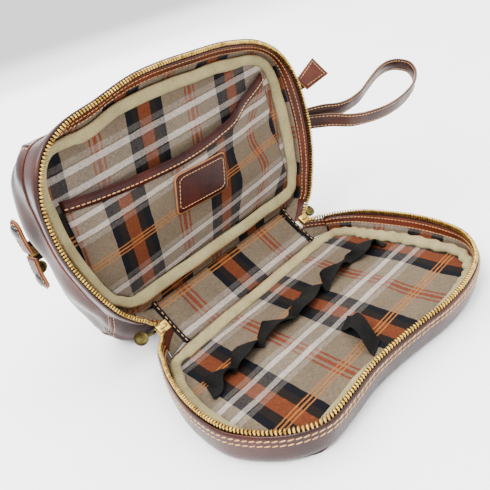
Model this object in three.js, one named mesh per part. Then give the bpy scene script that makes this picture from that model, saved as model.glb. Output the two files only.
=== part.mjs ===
// Two-compartment shaving kit bag, lying open. The base tray lies flat on the table with its lining up,
// the hinge band rises from its back edge, and the main compartment lies behind with its divider upright.
// Millimetres, +Z up. The origin is the middle of the base tray's underside; X runs along the hinge and
// -Y points to the front. Closing folds the band and the main compartment forwards over the tray.
import * as THREE from 'three';

// ---- Driving dimensions ---------------------------------------------------------------------------
const HALF_DEPTH = 82; // from the middle of each half to its fold line
const RIM_HEIGHT = 18.7; // from the lining to the free edge of the zip, on each half
const ZIP_GAP = 0.4; // half the space left between the two rows of teeth
const BASE_THICKNESS = 5; // leather, board and lining of the base tray
const BAND_LENGTH = 2 * (RIM_HEIGHT + ZIP_GAP);
const BAND_LEFT = -73;
const BAND_RIGHT = 84;
const BAND_TILT = Math.PI / 4; // the band's slope as the bag lies open
const RIM_LEFT = [-95, 78]; // the rims stop here on the hinge side, beside the zip sliders
const RIM_RIGHT = [104, 76];
const RIDGE_DEPTH = 73; // from the divider to the top zip
const RIDGE_DROP = 19; // how far the top zip has sagged below the divider's middle
const RIDGE_LEFT = -110;
const RIDGE_RIGHT = 134;
const ZIP_SLOT = 7; // half the width of the top zip's slot
const LEATHER = 2;
const GAP = 0.3; // left between pieces that touch
const OUTER_GROW = 3.4; // the leather stands this far outside the lining's wall
const RIM_STEPS = 48; // facets of a rim, and of a full turn round the outline
const SHEET_STEPS = 56;

const FOLD_LINE = HALF_DEPTH; // Y of the crease between tray and band
const DIVIDER_Y = FOLD_LINE + BAND_LENGTH * Math.cos(BAND_TILT);
const DIVIDER_Z = BASE_THICKNESS + BAND_LENGTH * Math.sin(BAND_TILT) + HALF_DEPTH;

// ---- Materials --------------------------------------------------------------------------------------
const finish = (color, roughness, metalness = 0) =>
  new THREE.MeshStandardMaterial({ color, roughness, metalness });
const brownLeather = () => finish(0x3f231e, 0.42);
const redLeather = () => finish(0x5a2416, 0.4);
const plaid = () => finish(0x7d7361, 0.85);
const redTape = () => finish(0x5c2517, 0.75);
const brass = () => finish(0xcbb06a, 0.32, 1);
const antiqueBrass = () => finish(0x75683a, 0.4, 1);
const twill = () => finish(0xb4a980, 0.9);
const board = () => finish(0x8b8272, 0.9);
const blackWeb = () => finish(0x262422, 0.85);
const darkSnap = () => finish(0x1d1a19, 0.2, 0.6);

// ---- Outlines of the two halves ----------------------------------------------------------------------
// The zip's line round each half, from the middle of the hinge side to the right. Hinge side at +Y.
const TRAY_MOUTH = [
  [0, HALF_DEPTH],
  [60, 82],
  [99, 79],
  [119, 50],
  [122.5, 13],
  [117.5, -25],
  [103, -58],
  [76, -80.5],
  [47, -88.5],
  [19, -88.5],
  [-6, -83.5],
  [-30, -79],
  [-54, -76.7],
  [-79, -78],
  [-99, -77.5],
  [-114, -67.5],
  [-126, -50],
  [-133.5, -28],
  [-132, 0],
  [-124, 28.5],
  [-112, 55],
  [-96, 78],
  [-60, 82],
];
const DIVIDER_MOUTH = [
  [0, HALF_DEPTH],
  [60, 82],
  [105, 78],
  [122, 54.5],
  [132, 24],
  [134.5, -5],
  [130.5, -33],
  [117.5, -56],
  [94, -72.6],
  [62, -81.4],
  [30, -84.5],
  [-26, -86],
  [-64, -79.5],
  [-89, -75],
  [-107, -65.7],
  [-120.5, -50],
  [-128, -32],
  [-130, -14],
  [-129, 4],
  [-124, 26],
  [-116, 48],
  [-106.5, 65],
  [-91, 80],
  [-60, 82],
];

// The inset says how far the lining's edge lies inside the zip's line at each end and at the far side,
// and how much less it is round the corners. An upright wall leans in at the far side only.
function half(mouth, side, inset) {
  const points = mouth.map(([x, y]) => new THREE.Vector3(x, y, 0));
  return { curve: new THREE.CatmullRomCurve3(points, true, 'centripetal'), side, inset };
}
const TRAY = half(TRAY_MOUTH, 1, { left: 6, right: 14, far: 9, corner: 10, lean: 6 });
const DIVIDER = half(DIVIDER_MOUTH, -1, { left: 8, right: 15, far: 16, corner: 10, lean: 0 });
const HINGE_INSET = 1;

// The inset where the wall faces along (x, y).
function wallInset({ left, right, far, corner }, x, y, hingeInset) {
  const beside = (left + right + x * (right - left)) / 2;
  const wall = THREE.MathUtils.lerp(beside, far, Math.max(0, -y) ** 2) - corner * (2 * x * y) ** 2;
  return THREE.MathUtils.lerp(Math.max(wall, 0), hingeInset, THREE.MathUtils.smoothstep(y, 0.4, 0.9));
}

// A point at share t of a half's outline, grown outwards, at a height of its sloping or upright wall.
// The divider's half is mirrored in Y.
function outlinePoint(part, t, grow, height, hingeInset = HINGE_INSET, upright = false) {
  const wrapped = ((t % 1) + 1) % 1;
  const point = part.curve.getPointAt(wrapped);
  const tangent = part.curve.getTangentAt(wrapped);
  const sloped = wallInset(part.inset, -tangent.y, tangent.x, hingeInset);
  const inset = upright ? part.inset.lean * Math.max(0, -tangent.x) ** 2 : sloped;
  const out = grow - inset * (1 - height / RIM_HEIGHT);
  return new THREE.Vector2(point.x - tangent.y * out, part.side * (point.y + tangent.x * out));
}

// The share of a half's outline that comes nearest to (x, y).
function shareNear(part, x, y) {
  const tries = 2000;
  const goal = new THREE.Vector3(x, y, 0);
  let best = 0;
  for (let i = 1; i < tries; i += 1) {
    const distance = part.curve.getPointAt(i / tries).distanceTo(goal);
    if (distance < part.curve.getPointAt(best).distanceTo(goal)) best = i / tries;
  }
  return best;
}

// ---- Closed meshes ----------------------------------------------------------------------------------
function closedGeometry(points, faces) {
  const geometry = new THREE.BufferGeometry();
  geometry.setAttribute('position', new THREE.Float32BufferAttribute(points.flatMap((p) => p.toArray()), 3));
  let volume = 0;
  for (const [a, b, c] of faces) {
    volume += points[a].dot(new THREE.Vector3().crossVectors(points[b], points[c]));
  }
  geometry.setIndex(volume < 0 ? faces.flatMap(([a, b, c]) => [a, c, b]) : faces.flat());
  geometry.computeVertexNormals();
  return geometry;
}

// A solid whose rings of points follow each other. It closes on itself, or has flat ends.
function ringSolid(rings, closed) {
  const size = rings[0].length;
  const points = rings.flat();
  const faces = [];
  const last = closed ? rings.length : rings.length - 1;
  for (let i = 0; i < last; i += 1) {
    const here = i * size;
    const next = ((i + 1) % rings.length) * size;
    for (let j = 0; j < size; j += 1) {
      const k = (j + 1) % size;
      faces.push([here + j, next + j, next + k], [here + j, next + k, here + k]);
    }
  }
  if (!closed) {
    for (let j = 1; j < size - 1; j += 1) {
      const end = (rings.length - 1) * size;
      faces.push([0, j, j + 1], [end, end + j + 1, end + j]);
    }
  }
  return closedGeometry(points, faces);
}

// A strip of section points that runs round a half's outline from one share to another.
function rimStrip(section, part, from, to, steps, hingeInset) {
  const closed = to - from === 1;
  const count = closed ? steps : steps + 1;
  const rings = [];
  for (let i = 0; i < count; i += 1) {
    const t = from + ((to - from) * i) / steps;
    rings.push(
      section.map(([grow, height, upright]) => {
        const p = outlinePoint(part, t, grow, Math.max(0, height), hingeInset, upright);
        return new THREE.Vector3(p.x, p.y, height);
      }),
    );
  }
  return ringSolid(rings, closed);
}

const plate = (shape, depth, curveSegments = 12) =>
  new THREE.ExtrudeGeometry(shape, { depth, bevelEnabled: false, curveSegments });

// A flat sheet in a half's shape, from one height to another.
function sheet(part, grow, low, high, upright) {
  const edge = [];
  for (let i = 0; i < SHEET_STEPS; i += 1) {
    edge.push(outlinePoint(part, i / SHEET_STEPS, grow, 0, HINGE_INSET, upright));
  }
  return plate(new THREE.Shape(edge), high - low).translate(0, 0, low);
}

// A skin between two surfaces that are given over the same unit square.
function skin(outer, inner, across, along) {
  const rings = [];
  for (let i = 0; i <= along; i += 1) {
    const ring = [];
    for (let j = 0; j <= across; j += 1) ring.push(outer(j / across, i / along));
    for (let j = across; j >= 0; j -= 1) ring.push(inner(j / across, i / along));
    rings.push(ring);
  }
  const size = 2 * (across + 1);
  const points = rings.flat();
  const faces = [];
  for (let i = 0; i < along; i += 1) {
    for (let j = 0; j < size; j += 1) {
      const k = (j + 1) % size;
      const here = i * size;
      const next = here + size;
      faces.push([here + j, next + j, next + k], [here + j, next + k, here + k]);
    }
  }
  for (let j = 0; j < across; j += 1) {
    const far = size - 1 - j;
    const end = along * size;
    faces.push([j, j + 1, far - 1], [j, far - 1, far]);
    faces.push([end + j, end + far - 1, end + j + 1], [end + j, end + far, end + far - 1]);
  }
  return closedGeometry(points, faces);
}

// A flat band of the given width and thickness along a path; its width lies along widthAt(t).
function ribbon(path, widthAt, width, thickness, steps, closed) {
  const rings = [];
  const count = closed ? steps : steps + 1;
  for (let i = 0; i < count; i += 1) {
    const t = i / steps;
    const centre = path.getPoint(t);
    const across = widthAt(t).clone().normalize();
    const through = new THREE.Vector3().crossVectors(path.getTangent(t), across).normalize();
    across.multiplyScalar(width / 2);
    through.multiplyScalar(thickness / 2);
    const corner = (w, d) => centre.clone().addScaledVector(across, w).addScaledVector(through, d);
    rings.push([corner(-1, -1), corner(1, -1), corner(1, 1), corner(-1, 1)]);
  }
  return ringSolid(rings, closed);
}

const curveThrough = (points, closed = false) =>
  new THREE.CatmullRomCurve3(points.map((p) => new THREE.Vector3(...p)), closed, 'centripetal');

function boxAt(low, high) {
  const size = high.map((value, i) => value - low[i]);
  const geometry = new THREE.BoxGeometry(...size);
  return geometry.translate(...low.map((value, i) => value + size[i] / 2));
}

const bag = new THREE.Group();
const mainHalf = new THREE.Group();
mainHalf.position.set(0, DIVIDER_Y, DIVIDER_Z);
mainHalf.rotation.x = Math.PI / 2;
const baseHalf = new THREE.Group();
baseHalf.position.set(0, 0, BASE_THICKNESS);
const band = new THREE.Group();
band.position.set(0, FOLD_LINE, BASE_THICKNESS);
band.rotation.x = BAND_TILT;
bag.add(baseHalf, band, mainHalf);

function add(parent, name, geometry, material) {
  const mesh = new THREE.Mesh(geometry, material);
  mesh.name = name;
  parent.add(mesh);
  return mesh;
}

// ---- Rims, zip and binding, the same on both halves --------------------------------------------------
const TAPE_FROM = 8.8;
const TAPE_TO = 15;
const BASE_LEATHER_TOP = -2.6;
const DIVIDER_BACK = -3.4;
// Section points are [outwards from the wall, height, upright or not].
const TRAY_WALL = [
  [1.9, BASE_LEATHER_TOP + GAP],
  [2.8, BASE_LEATHER_TOP + GAP, true],
  [3.2, 5, true],
  [3, 11, true],
  [2.6, TAPE_TO, true],
  [1.7, TAPE_TO],
  [1.9, 8],
];
const DIVIDER_WALL = [
  [1.9, DIVIDER_BACK],
  [OUTER_GROW, DIVIDER_BACK],
  [OUTER_GROW, 8],
  [2.9, TAPE_TO],
  [1.7, TAPE_TO],
  [1.9, 8],
];
const RIM_LINING = [
  [-0.1, GAP],
  [0.8, GAP],
  [0.8, TAPE_FROM - GAP],
  [-0.1, TAPE_FROM - GAP],
];
const RIM_TAPE = [
  [-0.3, TAPE_FROM],
  [0.6, TAPE_FROM],
  [0.5, TAPE_TO],
  [-0.4, TAPE_TO],
];
const TEETH = [
  [-1.6, TAPE_TO + GAP],
  [1.6, TAPE_TO + GAP],
  [1.6, RIM_HEIGHT],
  [-1.6, RIM_HEIGHT],
];
const BINDING = [
  [-1.2, GAP],
  [-1.2, 4.4],
  [-2.6, 5.6],
  [-8.6, 3.6],
  [-8.6, GAP],
];
const BINDING_INSET = 10; // the binding crosses the hinge side this far inside the fold

function addRim(parent, prefix, part, wall) {
  const from = shareNear(part, ...RIM_RIGHT);
  const to = shareNear(part, ...RIM_LEFT);
  const open = (section) => rimStrip(section, part, from, to, RIM_STEPS, HINGE_INSET);
  add(parent, `${prefix}_rim_leather`, open(wall), brownLeather());
  add(parent, `${prefix}_rim_lining`, open(RIM_LINING), plaid());
  add(parent, `${prefix}_zip_tape`, open(RIM_TAPE), redTape());
  add(parent, `${prefix}_zip_teeth`, open(TEETH), brass());
  const binding = rimStrip(BINDING, part, 0, 1, SHEET_STEPS, BINDING_INSET);
  add(parent, `${prefix}_binding`, binding, twill());
}

// ---- Base tray --------------------------------------------------------------------------------------
add(baseHalf, 'base_leather', sheet(TRAY, 1, -BASE_THICKNESS, BASE_LEATHER_TOP, true), brownLeather());
add(baseHalf, 'base_board', sheet(TRAY, -0.4, BASE_LEATHER_TOP + GAP, -1.1), board());
add(baseHalf, 'base_lining', sheet(TRAY, -0.4, -0.8, 0), plaid());
addRim(baseHalf, 'base', TRAY, TRAY_WALL);

// The long elastic is tacked to the lining between its loops; the short one makes a single loop.
const ELASTIC_WIDTH = 17;
const ELASTIC_THICK = 1.2;
const TACK_HEIGHT = 1.2;
const LOOP_HEIGHT = 9.5;
function loopedPath(tacks) {
  const points = [];
  tacks.forEach(([x, y], i) => {
    points.push([x - 2, y, TACK_HEIGHT], [x + 2, y, TACK_HEIGHT]);
    if (i + 1 === tacks.length) return;
    const [nextX, nextY] = tacks[i + 1];
    const low = x + (nextX - x) * 0.28;
    const high = x + (nextX - x) * 0.72;
    points.push([low, y + (nextY - y) * 0.28, LOOP_HEIGHT], [high, y + (nextY - y) * 0.72, LOOP_HEIGHT]);
  });
  return curveThrough(points);
}
const LONG_TACKS = [
  [-105, 19],
  [-83, 23],
  [-56, 22],
  [-20, 21],
  [22, 20],
  [62, 25],
  [95, 13],
];
const alongY = () => new THREE.Vector3(0, 1, 0);
const longElastic = ribbon(loopedPath(LONG_TACKS), alongY, ELASTIC_WIDTH, ELASTIC_THICK, 54, false);
add(baseHalf, 'elastic_long', longElastic, blackWeb());
const shortPath = curveThrough([
  [-25, -58, TACK_HEIGHT],
  [-24, -55, TACK_HEIGHT + 0.6],
  [-21, -48, 10],
  [-15, -36, 11],
  [-11, -27, TACK_HEIGHT + 2],
  [-10, -22, TACK_HEIGHT],
]);
const alongX = () => new THREE.Vector3(1, 0, 0);
const shortElastic = ribbon(shortPath, alongX, ELASTIC_WIDTH, ELASTIC_THICK, 16, false);
add(baseHalf, 'elastic_short', shortElastic, blackWeb());

// ---- Hinge band and the zip sliders at its two ends ------------------------------------------------------
const BAND_LOW = 0.5;
const BAND_HIGH = BAND_LENGTH - 0.5;
const BAND_MIDDLE = BAND_LENGTH / 2;
const bandLayer = (low, high) => boxAt([BAND_LEFT, BAND_LOW, low], [BAND_RIGHT, BAND_HIGH, high]);
add(band, 'band_leather', bandLayer(-3, -1.2), brownLeather());
add(band, 'band_lining', bandLayer(-0.9, -0.1), plaid());

// A zip slider in section across its travel: two wings joined by the bridge between them.
const SLIDER_LENGTH = 10.5;
const SLIDER_HEIGHT = 5.2;
function sliderBody() {
  const plan = new THREE.Shape();
  plan.moveTo(-SLIDER_LENGTH / 2, -2.4);
  plan.lineTo(-1, -2.7);
  plan.lineTo(SLIDER_LENGTH / 2, -4.6);
  plan.lineTo(SLIDER_LENGTH / 2, 4.6);
  plan.lineTo(-1, 2.7);
  plan.lineTo(-SLIDER_LENGTH / 2, 2.4);
  return plate(plan, SLIDER_HEIGHT).translate(0, 0, -SLIDER_HEIGHT / 2);
}

// A round coin on a short link; the link starts on the pivot at the group's origin and runs along -X.
const COIN_RADIUS = 5.6;
const COIN_REACH = 16;
const COIN_THICK = 1.6;
function coinPull() {
  const plan = new THREE.Shape();
  const neck = 1.3;
  const neckAngle = Math.asin(neck / COIN_RADIUS);
  plan.moveTo(1, neck);
  plan.lineTo(-COIN_REACH + COIN_RADIUS * Math.cos(neckAngle), neck);
  plan.absarc(-COIN_REACH, 0, COIN_RADIUS, neckAngle, 2 * Math.PI - neckAngle, false);
  plan.lineTo(1, -neck);
  return plate(plan, COIN_THICK, 20).translate(0, 0, -COIN_THICK / 2);
}

const SLIDER_OFFSET = 10.6; // from the band's end to the slider's middle
const SLIDER_RISE = 4; // the sliders stand this far above the band's lining
const SEAM_WIDTH = 3.6;
const PULL_CLEAR = 4.8; // the pull's pivot lies this far behind the slider's middle
const PULL_TURN = 0.2;
for (const [name, sign, bandEnd] of [
  ['left', -1, BAND_LEFT],
  ['right', 1, BAND_RIGHT],
]) {
  const near = bandEnd + sign * GAP;
  const far = near + sign * SEAM_WIDTH;
  const seam = boxAt([Math.min(near, far), BAND_LOW, -2.2], [Math.max(near, far), BAND_HIGH, -0.1]);
  add(band, `band_seam_${name}`, seam, blackWeb());
  const sliderX = bandEnd + sign * SLIDER_OFFSET;
  const slider = add(band, `zip_slider_${name}`, sliderBody(), brass());
  slider.position.set(sliderX, BAND_MIDDLE, SLIDER_RISE);
  if (sign < 0) slider.rotation.z = Math.PI;
  const pull = add(band, `zip_pull_${name}`, coinPull(), antiqueBrass());
  pull.position.set(sliderX + sign, BAND_MIDDLE + 1.5, SLIDER_RISE - PULL_CLEAR);
  pull.rotation.z = sign < 0 ? -PULL_TURN : Math.PI + PULL_TURN;
}

// ---- Divider between the two compartments, with its pocket ---------------------------------------------
add(mainHalf, 'divider_lining', sheet(DIVIDER, -0.4, -0.8, 0), plaid());
add(mainHalf, 'divider_board', sheet(DIVIDER, -0.4, -3, -1.1), board());
add(mainHalf, 'main_floor_lining', sheet(DIVIDER, -0.4, -4.1, -3.3), plaid());
addRim(mainHalf, 'divider', DIVIDER, DIVIDER_WALL);
const WELT = [
  [1.2, -5.4],
  [5, -5.4],
  [5.4, -4.5],
  [5, -3.7],
  [1.2, -3.7],
];
const welt = rimStrip(WELT, DIVIDER, 0, 1, SHEET_STEPS, HINGE_INSET);
add(mainHalf, 'divider_welt', welt, redLeather());

const POCKET_LEFT = -110;
const POCKET_RIGHT = 104;
const POCKET_INSET = -9.4;
const WIDEST_LEFT = [-130, -14];
const WIDEST_RIGHT = [134.5, -5];
const POCKET_BOW = 7; // how far the pocket's mouth stands off the divider
const POCKET_THICK = 0.9;
const POCKET_TRIM = 8.5;
const pocketEdge = curveThrough([
  [POCKET_LEFT, 18, 0],
  [-86, 14.5, 0],
  [-42, 10.5, 0],
  [3, 9.5, 0],
  [47, 15.5, 0],
  [76, 27, 0],
  [POCKET_RIGHT, 37, 0],
]);
const lerp = THREE.MathUtils.lerp;
// The pocket is sewn down along the binding's inner edge.
const pocketSeam = [];
for (let t = shareNear(DIVIDER, ...WIDEST_LEFT) - 1; t < shareNear(DIVIDER, ...WIDEST_RIGHT); t += 0.005) {
  pocketSeam.push(outlinePoint(DIVIDER, t, POCKET_INSET, 0, BINDING_INSET));
}
function pocketFloor(x) {
  const next = pocketSeam.findIndex((point) => point.x > x);
  const [before, after] = [pocketSeam[next - 1], pocketSeam[next]];
  return lerp(before.y, after.y, (x - before.x) / (after.x - before.x));
}
// Height of the pocket's cloth off the divider: nothing along its sewn sides, most at its mouth's middle.
function pocketLift(x, rise) {
  const share = (x - POCKET_LEFT) / (POCKET_RIGHT - POCKET_LEFT);
  const sewn = Math.max(0, 4 * share * (1 - share));
  return 0.5 + POCKET_BOW * Math.sqrt(sewn) * Math.min(1, Math.max(0, rise)) ** 0.7;
}
function pocketPoint(u, y, rise, lift) {
  const x = pocketEdge.getPoint(u).x;
  return new THREE.Vector3(x, y, pocketLift(x, rise) + lift);
}
function pocketCloth(lift) {
  return (u, v) => {
    const edge = pocketEdge.getPoint(u);
    return pocketPoint(u, lerp(pocketFloor(edge.x), edge.y, v), v, lift);
  };
}
function pocketTrim(lift) {
  return (u, v) => {
    const edge = pocketEdge.getPoint(u);
    return pocketPoint(u, edge.y + GAP + POCKET_TRIM * v, 1, lift);
  };
}
add(mainHalf, 'pocket_cloth', skin(pocketCloth(POCKET_THICK), pocketCloth(0), 14, 5), plaid());
add(mainHalf, 'pocket_trim', skin(pocketTrim(2), pocketTrim(0), 14, 1), redLeather());

const PATCH = { left: -29, right: 25, low: -25, high: 4.5, lean: 7.5 };
const PATCH_EDGE = 9.5; // the pocket's edge above the patch
function patchFace(lift) {
  return (u, v) => {
    const x = lerp(PATCH.left, PATCH.right, u) + PATCH.lean * v;
    const y = lerp(PATCH.low, PATCH.high, v) - 2 * u;
    const floor = pocketFloor(x);
    const rise = (y - floor) / (PATCH_EDGE - floor);
    return new THREE.Vector3(x, y, pocketLift(x, rise) + POCKET_THICK + GAP + lift);
  };
}
add(mainHalf, 'label_patch', skin(patchFace(1.6), patchFace(0.1), 4, 3), redLeather());

// ---- Main compartment: four leather panels round a lining, from the divider back to the top zip ---------
const SHELL_START = 5.8;
const shellFoot = (t) => outlinePoint(DIVIDER, t, OUTER_GROW, 0);
const footPoints = Array.from({ length: 240 }, (_, i) => shellFoot(i / 240));
const TOP_EDGE = Math.max(...footPoints.map((p) => p.y));
const LOW_EDGE = Math.min(...footPoints.map((p) => p.y));
const LEFT_EDGE = Math.min(...footPoints.map((p) => p.x));
const RIGHT_EDGE = Math.max(...footPoints.map((p) => p.x));
const FLOOR_EDGE = -DIVIDER_Z + 0.25; // the lower panel lies on the table

// A smooth function of the share from the divider to the ridge, through evenly spaced values.
function profile(values) {
  const curve = curveThrough(values.map((value, i) => [i / (values.length - 1), value, 0]));
  return (s) => curve.getPoint(s).y;
}
const upperSide = profile([TOP_EDGE, 74, 72, 62, 34, -RIDGE_DROP + ZIP_SLOT]);
const underside = profile([LOW_EDGE, -108, -116, -116, -95, -RIDGE_DROP - ZIP_SLOT]);
const leftEnd = profile([1, 1.01, 1.02, 0.99, 0.93, RIDGE_LEFT / LEFT_EDGE]);
const rightEnd = profile([1, 1.02, 1.05, 1.07, 1.08, RIDGE_RIGHT / RIGHT_EDGE]);
function shellPoint(t, s) {
  const foot = shellFoot(t);
  const bottom = Math.max(FLOOR_EDGE, underside(s));
  const share = (foot.y - LOW_EDGE) / (TOP_EDGE - LOW_EDGE);
  const x = foot.x * (foot.x < 0 ? leftEnd(s) : rightEnd(s));
  return new THREE.Vector3(x, lerp(bottom, upperSide(s), share), -lerp(SHELL_START, RIDGE_DEPTH, s));
}
// The same surface, moved inwards along its normal.
function shellInset(t, s, depth) {
  const step = 0.004;
  const low = Math.max(0, s - step);
  const high = Math.min(1, s + step);
  const along = shellPoint(t, high).sub(shellPoint(t, low));
  const round = shellPoint(t + step, s).sub(shellPoint(t - step, s));
  const normal = new THREE.Vector3().crossVectors(round, along).normalize();
  const point = shellPoint(t, s);
  const inside = new THREE.Vector3(point.x * 0.6, -RIDGE_DROP, -RIDGE_DEPTH / 2).sub(point);
  point.addScaledVector(normal, Math.sign(normal.dot(inside)) * depth);
  point.z = Math.min(point.z, -SHELL_START);
  return point;
}
const SHELL_STEPS = 9;
const PANEL_SEAM = 0.8 / DIVIDER.curve.getLength();
const lowRight = shareNear(DIVIDER, 118, 60);
const highRight = shareNear(DIVIDER, 112, -61);
const highLeft = shareNear(DIVIDER, -107, -66);
const lowLeft = shareNear(DIVIDER, -106, 66);
const PANELS = [
  ['bottom_side_panel', lowLeft - 1, lowRight, 14],
  ['right_end_panel', lowRight, highRight, 8],
  ['top_side_panel', highRight, highLeft, 14],
  ['left_end_panel', highLeft, lowLeft, 8],
];
for (const [name, from, to, across] of PANELS) {
  const face = (depth) => (u, v) => shellInset(lerp(from + PANEL_SEAM, to - PANEL_SEAM, u), v, depth);
  add(mainHalf, name, skin(face(0), face(LEATHER), across, SHELL_STEPS), brownLeather());
}
const LINING_FROM = 0.02;
const LINING_TO = 0.92;
const LINING_INSET = LEATHER + 3;
const LINING_THICK = 0.8;
function liningRings() {
  const around = 44;
  const rings = [];
  for (let i = 0; i < around; i += 1) {
    const inner = [];
    const outer = [];
    for (let j = 0; j <= SHELL_STEPS; j += 1) {
      const share = THREE.MathUtils.clamp(j / SHELL_STEPS, LINING_FROM, LINING_TO);
      outer.push(shellInset(i / around, share, LINING_INSET));
      inner.push(shellInset(i / around, share, LINING_INSET + LINING_THICK));
    }
    rings.push([...outer, ...inner.reverse()]);
  }
  return rings;
}
add(mainHalf, 'main_lining', ringSolid(liningRings(), true), plaid());

// ---- Top zip along the ridge ---------------------------------------------------------------------------
const ZIP_LEFT = RIDGE_LEFT - 11;
const ZIP_RIGHT = RIDGE_RIGHT - 10;
const TAPE_HALF = ZIP_SLOT + 2;
const TAPE_THICK = 0.9;
const TEETH_HALF = 2.4;
const TEETH_RISE = 2.2;
const TAPE_FACE = -RIDGE_DEPTH - GAP; // the tape is sewn over the panels' edges
const TEETH_FOOT = TAPE_FACE - TAPE_THICK - GAP;
const ridgeTape = boxAt(
  [ZIP_LEFT, -RIDGE_DROP - TAPE_HALF, TAPE_FACE - TAPE_THICK],
  [ZIP_RIGHT, -RIDGE_DROP + TAPE_HALF, TAPE_FACE],
);
add(mainHalf, 'top_zip_tape', ridgeTape, redTape());
const ridgeTeeth = boxAt(
  [ZIP_LEFT, -RIDGE_DROP - TEETH_HALF, TEETH_FOOT - TEETH_RISE],
  [ZIP_RIGHT, -RIDGE_DROP + TEETH_HALF, TEETH_FOOT],
);
add(mainHalf, 'top_zip_teeth', ridgeTeeth, brass());

// The top slider straddles the teeth and slides along X.
function straddlingSlider() {
  const section = new THREE.Shape();
  const wing = TEETH_HALF + 0.4;
  section.moveTo(-wing - 1.3, GAP);
  section.lineTo(-wing, GAP);
  section.lineTo(-wing, TEETH_RISE + 0.4);
  section.lineTo(wing, TEETH_RISE + 0.4);
  section.lineTo(wing, GAP);
  section.lineTo(wing + 1.3, GAP);
  section.lineTo(wing + 1.3, TEETH_RISE + 2);
  section.lineTo(-wing - 1.3, TEETH_RISE + 2);
  return plate(section, SLIDER_LENGTH).translate(0, 0, -SLIDER_LENGTH / 2);
}
const TOP_SLIDER_X = ZIP_LEFT + 1 + SLIDER_LENGTH / 2;
const sliderBasis = new THREE.Matrix4().makeBasis(
  new THREE.Vector3(0, 1, 0),
  new THREE.Vector3(0, 0, -1),
  new THREE.Vector3(-1, 0, 0),
);
const topSlider = add(mainHalf, 'top_slider', straddlingSlider(), brass());
topSlider.position.set(TOP_SLIDER_X, -RIDGE_DROP, TEETH_FOOT);
topSlider.setRotationFromMatrix(sliderBasis);
// Its pull hangs straight down behind the bag from a pivot on the slider's back.
const TOP_PULL_Z = TEETH_FOOT - TEETH_RISE - 3.4;
const topPull = add(mainHalf, 'top_pull', coinPull(), antiqueBrass());
topPull.position.set(TOP_SLIDER_X, -RIDGE_DROP - 1, TOP_PULL_Z);
topPull.rotation.z = Math.PI / 2;

// The zip's tail runs past the right end of the ridge and carries a leather end tab.
const tail = new THREE.Group();
mainHalf.add(tail);
const TAIL_START = [RIDGE_RIGHT + 1.5, -RIDGE_DROP + 1, -RIDGE_DEPTH + 1];
const TAIL_END = [191, 8, -32];
const tailPath = curveThrough([TAIL_START, [156, -12, -61], [175, -1, -45], TAIL_END]);
const tailAcross = () => new THREE.Vector3(-0.13, 0.8, -0.58);
add(tail, 'zip_tail', ribbon(tailPath, tailAcross, 9.5, 1.2, 10, false), redTape());
function endTab() {
  const plan = new THREE.Shape();
  plan.moveTo(0, -5.2);
  plan.lineTo(27, -11.5);
  plan.lineTo(27, 11.5);
  plan.lineTo(0, 5.2);
  return plate(plan, 2.8).translate(0, 0, -1.4);
}
const tabAxis = new THREE.Vector3(0.815, 0.422, 0.398).normalize();
const tabAcross = new THREE.Vector3(-0.13, 0.802, -0.584).normalize();
const tabNormal = new THREE.Vector3().crossVectors(tabAxis, tabAcross).normalize();
tabAcross.crossVectors(tabNormal, tabAxis);
const tab = add(tail, 'zip_end_tab', endTab(), redLeather());
tab.setRotationFromMatrix(new THREE.Matrix4().makeBasis(tabAxis, tabAcross, tabNormal));
tab.position.set(...TAIL_END).addScaledVector(tabAxis, 0.8);

// ---- Snap tabs at the left end of the ridge -------------------------------------------------------------
const SNAP_X = RIDGE_LEFT - 11.5;
const SNAP_MIDDLE = [2 - RIDGE_DROP, 11 - RIDGE_DEPTH];
const TAB_LENGTH = 28;
const TAB_HALF_WIDTH = 8;
const TAB_THICK = 2.4;
function snapTab() {
  const plan = new THREE.Shape();
  const straight = TAB_LENGTH - TAB_HALF_WIDTH;
  plan.moveTo(-TAB_HALF_WIDTH + 1.5, 0);
  plan.lineTo(TAB_HALF_WIDTH - 1.5, 0);
  plan.lineTo(TAB_HALF_WIDTH, straight);
  plan.absarc(0, straight, TAB_HALF_WIDTH, 0, Math.PI, false);
  return plate(plan, TAB_THICK, 14);
}
const CAP_RADIUS = 6.2;
const CAP_RISE = 2.6;
function snapCap() {
  const profile = [
    new THREE.Vector2(0, 0),
    new THREE.Vector2(CAP_RADIUS, 0),
    new THREE.Vector2(CAP_RADIUS, CAP_RISE * 0.45),
    new THREE.Vector2(CAP_RADIUS * 0.75, CAP_RISE * 0.85),
    new THREE.Vector2(0, CAP_RISE),
  ];
  return new THREE.LatheGeometry(profile, 24);
}
for (const [name, sign] of [
  ['upper', 1],
  ['lower', -1],
]) {
  const place = new THREE.Group();
  place.position.set(SNAP_X, SNAP_MIDDLE[0] + sign * 2.2, SNAP_MIDDLE[1]);
  place.rotation.set(sign > 0 ? 0 : Math.PI, -Math.PI / 2, 0, 'YXZ');
  mainHalf.add(place);
  const leaf = add(place, `snap_tab_${name}`, snapTab(), redLeather());
  leaf.position.z = sign > 0 ? 0 : -TAB_THICK;
  const cap = add(place, `snap_cap_${name}`, snapCap(), darkSnap());
  cap.rotation.x = sign > 0 ? Math.PI / 2 : -Math.PI / 2;
  cap.position.set(0, TAB_LENGTH - TAB_HALF_WIDTH - 1, sign > 0 ? TAB_THICK + GAP : -TAB_THICK - GAP);
}

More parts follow.
